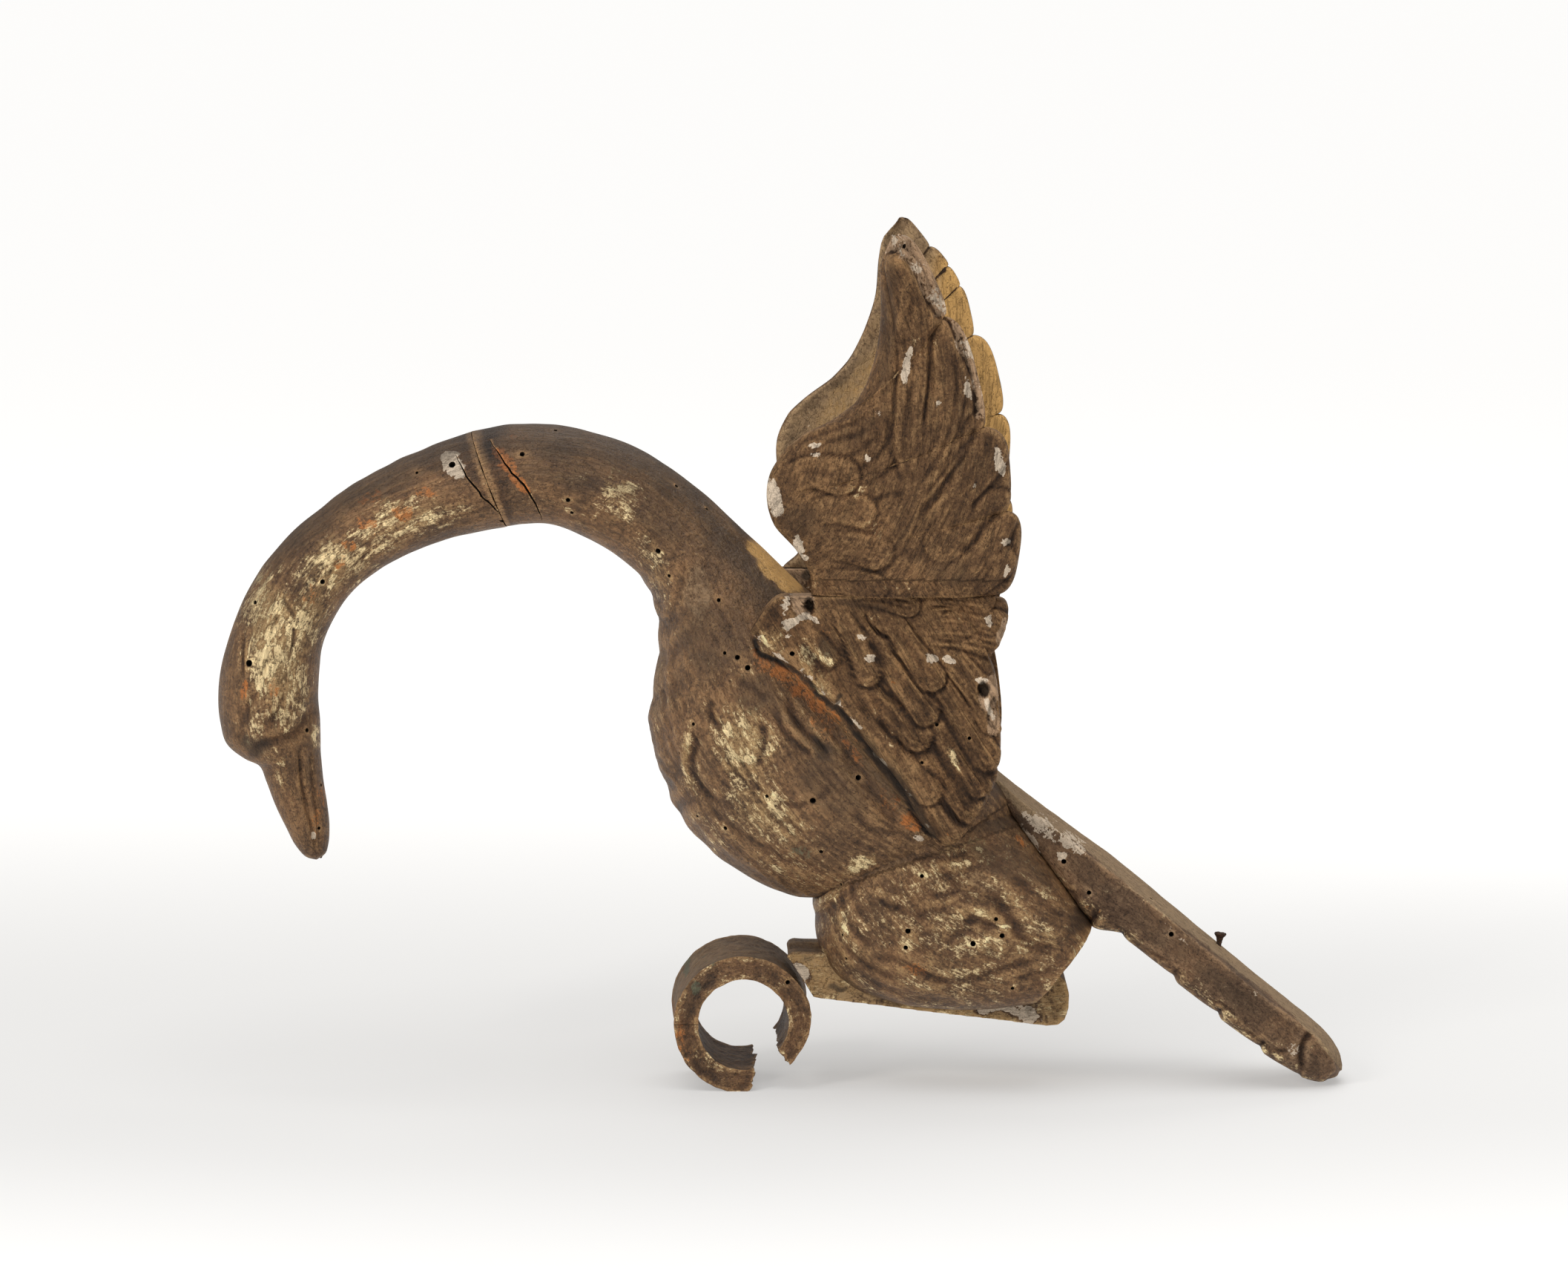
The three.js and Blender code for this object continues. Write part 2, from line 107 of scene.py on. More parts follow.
TAIL = stations(
    (87.6, 127, 86, 123.6, 18, 1.3, 6, 0.72), (96, 120.6, 92.4, 112.6, 20.5, 1.3, 6, 0.72),
    (107, 112.6, 103, 97.6, 22, 1.3, 6, 0.72), (122, 101.8, 114.6, 81.6, 23, 1.3, 6, 0.72),
    (136, 91.6, 125.6, 66.4, 23.6, 1.3, 6, 0.72), (152, 78.4, 138.4, 61.8, 24.2, 1.3, 6, 0.72),
    (176, 58.4, 162, 42.2, 25, 1.3, 6, 0.72), (198, 40.2, 183.4, 24.4, 25.4, 1.3, 6, 0.72),
    (212, 28.8, 197, 13.4, 25, 1.3, 6, 0.8), (221.6, 20.6, 207, 6.4, 22.4, 1.4, 5, 0.75),
    (227, 13.6, 214.6, 2.2, 18, 1.6, 4, 0.5), (229, 6.6, 220.6, 0, 11.5, 2, 3, 0.2),
    (228.6, 2.2, 226, 0.4, 5),
)

WING_SEAM = 205
WING_TIP = 348
NEAR_LEADING_EDGE = (
    (12.6, 205), (12, 213.5), (6.4, 223), (-2, 232.6), (-5, 243), (-3.8, 253), (2.8, 263.6), (10.2, 269.4),
    (20.4, 274.4), (30, 281.6), (35.4, 292), (38.8, 306), (39.9, 320), (39.6, 336), (44, 348),
)
FAR_LEADING_EDGE = (
    (1.4, 205), (7.6, 211), (7.6, 223), (1.6, 234), (-1, 246), (-1, 258), (3.8, 268.4), (11, 275),
    (21.4, 282.6), (28.6, 290.4), (34.6, 302), (39.2, 316), (40.7, 332), (42.6, 340), (49, 348),
)
# Notches of the feathered edges: x, z, root, and the bulge and lean of the lobe above each.
NEAR_NOTCHES = (
    (83.7, 205, 205, 9.4, 0.05), (87.4, 238.4, 222, 8.2, 0.4), (78.4, 271.8, 244, 7.2, 0.3),
    (62.8, 315.8, 280, 5.6, 0.05), (47, 348, 348, 0, 0),
)
FAR_NOTCHES = (
    (84, 205, 205, 9.4, 0.05), (87.4, 236, 222, 6.8, 0.1), (88.2, 268, 244, 6.6, 0.15),
    (78.6, 300.2, 266, 2.6, 0.2), (73, 320.2, 284, 2.2, 0.1), (68, 328.4, 300, 2.8, 0.1),
    (61, 336.4, 314, 1.6, 0.1), (51.4, 348, 348, 0, 0),
)
# How far a blade stands from the middle plane at its seam and its tip, and how thick it is there and at
# its edges.
BLADE_OFFSET = (50.5, 61.5)
BLADE_THICKNESS = (11, 7, 4.6)
BLADE_CAMBER = 5
FEATHER_RIDGE = 1.4

ROOT_START = (-11.5, 190)
ROOT_NOTCHES = (
    (64, 104, 0, 4.6, 0.1), (74.6, 116, 0.24, 3.4, 0.1), (80.4, 125.6, 0.42, 3.6, 0.1),
    (84, 136.2, 0.58, 5.6, 0.15), (79.4, 180.8, 0.86, 7.4, 0.2), (84, 203.6, 1, 0, 0),
)
# The upper hind corner of a wing root, and the share of its top that climbs to the seam.
ROOT_CORNER = (83.4, 0.14)
ROOT_OUTER = 57.5
ROOT_FRONT = 52.5
ROOT_INNER = 42.5
FAR_ROOT_REACH = 4
FITTING_GAP = 0.3

RING_MIDDLE = (-14.6, 27.3)
RING_OUTER = 27.9
RING_INNER = 18.4
RING_HALF_WIDTH = 24
RING_HOLLOW = 1.2
# The ring's gap in degrees, and how far aside and up its far rim stands.
RING_BREAK = (-88, -38)
RING_SHIFT = (-1.8, 0.8)
RING_THINNING = 3
RAIL_HALF_WIDTH = 17
RAIL_OUTLINE = (
    (13.8, 37.1), (108, 25.6), (112.5, 25.9), (115.4, 28.2), (116.8, 32.5), (117, 38.6), (115.6, 43.8),
    (112.4, 47.4), (20, 55.4), (5.4, 56), (3.5, 55), (3, 53.5), (4.6, 52),
)
# The rail's hollow top: its start, length, half width and depth, its height and how far it falls.
RAIL_HOLLOW = (2, 130, 9, 4.6, 58.6, 9.4)
# The nail's x, y and z, its lean, the radii of its shank and head, its length and how deep it sits.
NAIL = (178.4, -4, 56.6, 0.12, 1.0, 2.5, 5.4, 9)
# The pin's x and z, its radius, length and lean.
PIN = (-186.6, 93.2, 0.7, 3.4, 0.25)

# Soft lamps: name, place, aim, size and power, and the ceiling's spread and turn in degrees.
LIGHTS = (
    ("back lamp", (0.3, 1.5, 1.8), (0, 0.2, 0), (1.6, 1.0), 8),
    ("front lamp", (-1.5, -1.9, 1.45), (0, 0, 0.15), (0.7, 0.7), 22),
)
CEILING_SPREAD = 60
CEILING_TURN = (14, -4, 0)

# Carving of the left side, as the depth and half width of each groove and the places it runs through.
BREAST_GROOVES = (
    (1.5, 3.8, ((-6, 172), (4, 163), (14, 154), (23, 142), (31, 129), (40, 116), (49, 104), (56, 97))),
    (0.762, 1.76, ((-48.6, 191.6), (-50.4, 174.1), (-51, 157.8), (-48.7, 143.9), (-44.7, 131),
        (-37.8, 119.3))),
    (0.762, 1.65, ((-45.2, 183.4), (-47.5, 169.5), (-47, 155.5), (-44.7, 141.5), (-40.1, 129.8),
        (-30.9, 118.2), (-22.8, 112.3))),
    (0.578, 1.43, ((-41.7, 185.7), (-43.2, 169.5), (-42.9, 157.8), (-41.2, 148.5))),
    (1.15, 1.65, ((-34.9, 145.6), (-34.3, 138), (-36.4, 129.8), (-32.6, 121.7), (-26.8, 115.2),
        (-20.4, 113.5))),
    (-0.891, 1.87, ((-37.6, 147), (-37.3, 138), (-39.4, 129), (-35.4, 119.6), (-29, 112.4))),
    (1.02, 1.54, ((-27.9, 157.8), (-28.3, 150.8), (-25, 145.6), (-22.5, 148.5))),
    (1.28, 1.98, ((2.7, 159), (5.6, 149.7), (11.9, 141.5), (22.4, 133.4))),
    (-1.02, 2.09, ((0.2, 158), (2.6, 148.5), (9.4, 140.6), (19, 133.6))),
    (0.891, 1.76, ((-1.9, 155.5), (1.3, 145.2), (7.8, 137.6), (15.7, 132.5))),
    (0.891, 1.65, ((-7.7, 148.5), (-6.3, 141.5), (-7.5, 133.4), (-11.2, 126.9))),
    (0.762, 1.54, ((-21.6, 138), (-14.6, 129.8), (-11.2, 122.8), (-4.2, 115.8), (3.9, 106.5), (12, 100.6))),
    (0.707, 1.54, ((-28.5, 141.5), (-21.6, 133.4), (-17, 125.2), (-8.9, 115.8), (0.4, 105.3), (9.7, 98.3))),
    (0.762, 1.76, ((-45.9, 133.4), (-37.8, 122.8), (-29.7, 113.5), (-19.3, 104.1), (-5.4, 94.8),
        (7.3, 88.9), (16.6, 86.6))),
    (0.762, 1.76, ((-50.5, 131), (-43.6, 115.8), (-32, 100.6), (-19.3, 90.1), (-5.4, 81.9), (7.3, 78.4))),
    (0.51, 1.65, ((-40, 175.3), (-41.2, 164.8), (-38.9, 154.3), (-40.1, 146.2))),
    (0.638, 1.98, ((-18.1, 164.8), (-11.2, 161.3), (-4.2, 155.5))),
    (0.51, 1.76, ((-28.4, 199.7), (-22.7, 189.2), (-19.2, 179.9))),
    (0.51, 1.54, ((-39.9, 214.7), (-38.8, 206.6), (-42.3, 195), (-44.6, 185.7))),
    (0.638, 1.65, ((22, 124), (16, 116), (4, 113), (-4, 118))),
    (0.578, 1.65, ((30, 112), (34, 106), (42, 102), (50, 103))),
)
RUMP_GROOVES = (
    (0.635, 1.61, ((17.2, 77.2), (17.8, 70.1), (19.9, 59.2), (26.4, 48.3), (35.1, 41.7), (48, 36.2),
        (63.1, 32.9), (78.2, 31.9))),
    (0.73, 1.72, ((21.5, 79.3), (21, 71.2), (23.7, 60.3), (29.6, 51.5), (39.4, 45), (51.2, 40.6))),
    (0.73, 1.61, ((25.8, 82.1), (24.8, 74.4), (27.5, 65.7), (32.9, 59.2), (40.4, 53.7))),
    (0.635, 1.61, ((30.1, 84.2), (29.6, 76.6), (33.4, 69), (39.3, 63.5))),
    (-0.73, 1.84, ((38.2, 79.2), (43.6, 75.6), (49, 74.4))),
    (0.73, 1.49, ((39.8, 75), (45.8, 71.2), (50.6, 72.5))),
    (0.635, 1.61, ((61, 80.3), (64.2, 76.1), (71.6, 78.4), (69.3, 84), (63, 85))),
    (-1.19, 2.76, ((71.6, 66.8), (75.9, 70.3), (81.3, 70.5), (87.8, 66.8))),
    (0.825, 1.72, ((72.8, 64.4), (80.2, 65.6), (88.9, 62.9))),
    (-1.37, 3.45, ((77, 82.1), (83.4, 83.7), (91, 79.9), (97.5, 71.7), (106.1, 63), (115.8, 59),
        (120.1, 61.4))),
    (1, 2.3, ((82.4, 76.6), (88.8, 73.3), (94.2, 65.8), (99.7, 58.3), (106.1, 54.2), (115.8, 53.9))),
    (-1.09, 3.22, ((78.3, 56), (86.7, 57.4), (93.2, 52.4))),
    (0.635, 1.84, ((67.4, 54.8), (72, 60.4), (80.6, 62.5))),
    (0.73, 1.95, ((50.1, 49.3), (63.1, 41.7), (78.2, 41.7), (91.1, 46.1), (99.7, 48.3), (110.5, 49.9))),
    (0.545, 1.72, ((34, 50.4), (48, 49.3), (56.6, 45), (69.6, 38.4), (74.4, 38.2))),
    (0.545, 1.72, ((95.4, 41.7), (104, 43.9), (112.7, 46.1))),
    (0.545, 1.84, ((54.4, 66.8), (63, 70.1), (69.6, 70.3))),
    (0.91, 2.18, ((94.3, 85.1), (101.7, 79.2), (109.3, 72.2), (117.9, 65.6))),
    (0.545, 1.95, ((44, 92), (56, 92), (68, 92), (80, 95))),
)
HEAD_GROOVES = (
    (1.08, 0.9, ((-194.5, 139.2), (-194, 127), (-192.2, 114.4), (-189.8, 104.3), (-187.4, 90.8))),
    (0.6, 0.8, ((-190.4, 139.2), (-189.3, 122), (-187.5, 108.1), (-186.5, 92.8))),
    (1.56, 2.4, ((-216, 133.5), (-210.4, 137.4), (-204.5, 139.4), (-196.4, 142), (-191.9, 147.9),
        (-188.8, 156.2))),
    (0.96, 2, ((-211.2, 161.9), (-215.7, 152.3), (-218.3, 143.5), (-215.5, 135.2))),
    (0.72, 0.7, ((-216.6, 184.6), (-217.3, 173.8), (-216.8, 164.2))),
    (0.84, 0.8, ((-202.3, 191.7), (-204.7, 187), (-206.3, 182.6))),
    (0.6, 0.8, ((-206.6, 173.7), (-208.6, 170), (-210.2, 165.4))),
    (0.72, 0.8, ((-196.5, 187.1), (-196.3, 181.3), (-197.6, 175.5))),
    (0.6, 0.7, ((-201.3, 199), (-198.4, 193.9), (-195.2, 189.4))),
    (0.6, 0.8, ((-173.8, 208.5), (-168.3, 214), (-163.8, 217.9))),
    (0.6, 1, ((-177, 216.5), (-179.5, 211.5), (-184.3, 203.2))),
    (0.6, 1.2, ((-200, 160), (-203, 152), (-207, 146))),
    (-0.96, 3, ((-205, 158), (-209, 150), (-211, 143))),
)
# Drying cracks of the neck, as their depth, half width and places.
CRACKS = {
    "head_neck": (
        0.9, 0.5, ((-130.8, 255.8), (-127.1, 248.8), (-121.2, 240.7), (-114.9, 234.3), (-110.1, 226.9)),
    ),
    "body": (1.1, 0.55, ((-116.8, 262), (-109.4, 250.4), (-102, 241.8), (-97.8, 234.3), (-94.1, 226.4))),
}
BLADE_FEATHERS = (
    (8, 0.97, ((64, 199), (76, 203), (88, 213))), (9.5, 1.05, ((60, 214), (74, 219), (84, 225), (88, 233))),
    (10, 1.13, ((59, 228), (72, 242), (82, 255), (84, 264))),
    (8.5, 1.13, ((56, 243), (65, 268), (68, 290), (65, 309))),
    (7.5, 1.13, ((53, 245), (52, 268), (54, 300), (49.5, 332))),
    (8.5, 0.6, ((83, 218), (77, 209), (72, 203))), (7.5, 0.5, ((55, 216), (51, 208), (46, 201))),
    (8, 0.6, ((76, 239), (71, 229), (66, 220))), (7, 0.55, ((53, 239), (49, 229), (44, 221))),
    (6, 0.81, ((16, 204), (26, 204.5), (38, 202))), (7.5, 0.97, ((17, 219), (28, 218.5), (38.5, 216.5))),
    (7, 0.97, ((12, 232), (22, 234), (32.5, 233))), (8, 1.05, ((2, 245), (13, 249), (24.5, 247.2))),
)
BLADE_GROOVES = (
    (-0.7, 1.5, ((50.5, 334), (50.1, 323.8), (48.6, 311.2), (45.9, 300.8), (43.1, 288.2), (39.7, 279),
        (35.5, 271.2))),
    (0.54, 1.3, ((53.5, 330), (53, 318), (51.4, 306), (48.6, 294), (46.5, 284), (44, 274))),
    (1.01, 1.4, ((64.9, 313.7), (62.6, 306.6), (60.7, 298), (61.2, 286), (62, 276))),
    (0.54, 1.4, ((70, 304), (70.6, 291), (70.8, 279), (69, 268), (65, 257), (58, 246), (53, 240))),
    (1.16, 1.6, ((81.1, 268.9), (75.6, 260.5), (73.1, 254.8), (69.1, 247.8), (62.8, 238.6), (58.2, 232.8),
        (57, 227))),
    (1.09, 1.6, ((90.5, 233.2), (85.8, 230.3), (82.4, 227), (78.4, 220.7), (73.2, 214.9))),
    (0.62, 1.3, ((51.8, 240.9), (47.8, 249), (44.7, 258.2), (44.3, 267.4), (40.7, 273.2))),
    (0.54, 1.4, ((53, 242), (51.2, 251.3), (50, 262.8), (51.2, 274.4), (53.4, 288.2))),
    (0.7, 1.5, ((0.6, 253.4), (9.8, 261.5), (21.3, 266.3), (31.6, 269.9), (37.4, 274.1))),
    (0.54, 1.3, ((11, 256.8), (21.3, 261.5), (31.7, 264), (37.5, 268.2))),
    (0.54, 1.3, ((26.2, 254.8), (31.2, 257.1), (37.3, 261.7), (40.2, 267.2))),
    (0.62, 1.3, ((28.2, 248.4), (37.4, 253.6), (43.2, 260.5), (44.3, 266.3))),
    (0.62, 1.3, ((31.5, 242.4), (42, 248), (48.3, 254.8), (50.1, 260.5))),
    (0.54, 1.3, ((36.1, 236.4), (44.3, 240), (51.8, 240.1))),
)
BLADE_RIM = (
    (41.3, 337), (48.7, 335.2), (53.3, 329.5), (56.8, 321.5), (62.6, 311.2), (67.1, 308.9), (72.9, 295.1),
    (76.4, 288.2), (77.6, 279), (78.2, 267.4),
)
ROOT_FEATHERS = (
    (7.28, 1.4, ((50, 127), (58.9, 110.8), (70, 98.7))),
    (6.16, 1.4, ((55.8, 136.2), (64.9, 125), (77.5, 111.3))),
    (6.16, 1.4, ((58.8, 153.3), (70.8, 135.1), (80.5, 122))),
    (6.5, 1.4, ((60.7, 168.4), (72.8, 150.3), (84.4, 133))),
    (7.28, 1.3, ((66.7, 176.5), (78.8, 162.4), (87.3, 149))),
    (5.82, 1.4, ((31, 152.3), (41, 139.2), (51, 129))),
    (6.05, 1.4, ((42.8, 140), (51.8, 127), (60.4, 119))), (6.27, 1.51, ((31.7, 164), (42, 153), (56, 141))),
    (6.27, 1.62, ((38.7, 176.5), (49, 164), (59, 151.5))),
    (6.27, 1.62, ((43.7, 190.6), (52.7, 177.5), (61.4, 165.5))),
    (5.6, 1.4, ((22.7, 192.6), (29.7, 182.6), (35.8, 167))),
    (4.48, 1.08, ((9, 186), (15, 180), (20, 173.5))), (10.08, 1.4, ((58, 186), (73, 186), (86, 183.5))),
    (5.04, 0.97, ((28, 199), (40, 198), (52, 195))), (5.6, 0.97, ((56, 199), (68, 199), (82, 197))),
)
ROOT_GROOVES = (
    (0.7, 1, ((64, 190.6), (72, 193.6), (84, 192))), (0.6, 1, ((60, 181.6), (72, 180.6), (84, 185))),
    (1.3, 0.8, ((34.5, 193.5), (36, 188), (41, 183), (46, 181))),
)

# Beetle holes as the view sees them: x, z and radius.
HOLES = {
    "head_neck": (
        (-184.6, 204.5, 1.1), (-211.9, 196.1, 0.9), (-214.6, 171.3, 1.5), (-191.4, 144, 0.9),
        (-185.9, 121.6, 0.7), (-186.9, 103.9, 0.7), (-146.2, 248.7, 0.7), (-132, 252, 1.5),
    ),
    "body": (
        (-103.7, 256.2, 1.1), (-90.2, 265.8, 0.8), (-85.3, 237.6, 1), (-83.8, 232.5, 0.8),
        (-41.6, 243.3, 0.8), (-29.3, 234, 0.7), (-49.1, 216.9, 1.2), (-44.6, 206.9, 0.8), (-24.6, 197, 0.9),
        (-22.2, 175.5, 0.8), (-17.1, 173.7, 1.1), (-12.9, 169.5, 1.2), (-34.9, 146.5, 0.8),
        (-40.6, 134.6, 0.6), (30.3, 145.3, 1.2), (31.9, 124.6, 1.2), (13.5, 115.2, 1.3), (-5.1, 117, 0.8),
        (-22, 103.9, 0.9), (-33.4, 108.8, 0.6), (16.9, 94.2, 0.9), (41.5, 128, 0.8), (57.8, 84.2, 0.9),
        (57.8, 81.4, 0.9), (52.2, 61.6, 1.2), (51.3, 54.8, 1), (78.7, 56.4, 1.2), (90.5, 59.7, 1.1),
        (88, 66.5, 0.9), (94.8, 38, 0.8), (27.1, 50.3, 0.7), (25, 80.8, 0.6), (25.6, 60, 0.6),
    ),
    "wing_root_left": ((5.1, 175.2, 1.1), (63.7, 146.2, 0.8), (57.7, 130.7, 0.8), (76.9, 140.7, 0.8)),
    "wing_blade_left": ((50, 339.9, 1),),
    "tail": ((115.4, 90.2, 1.1), (125.7, 77.4, 1), (159.3, 60.3, 1.1), (174.3, 28.2, 1.1), (151, 75, 0.8)),
    "scroll_curl": ((3.3, 40.5, 1),),
}
HOLE_DEPTH = 5
HOLE_SIDES = 12
HOLE_SPACING = 3.4
FAR_HOLE_RADII = (0.6, 1.2)

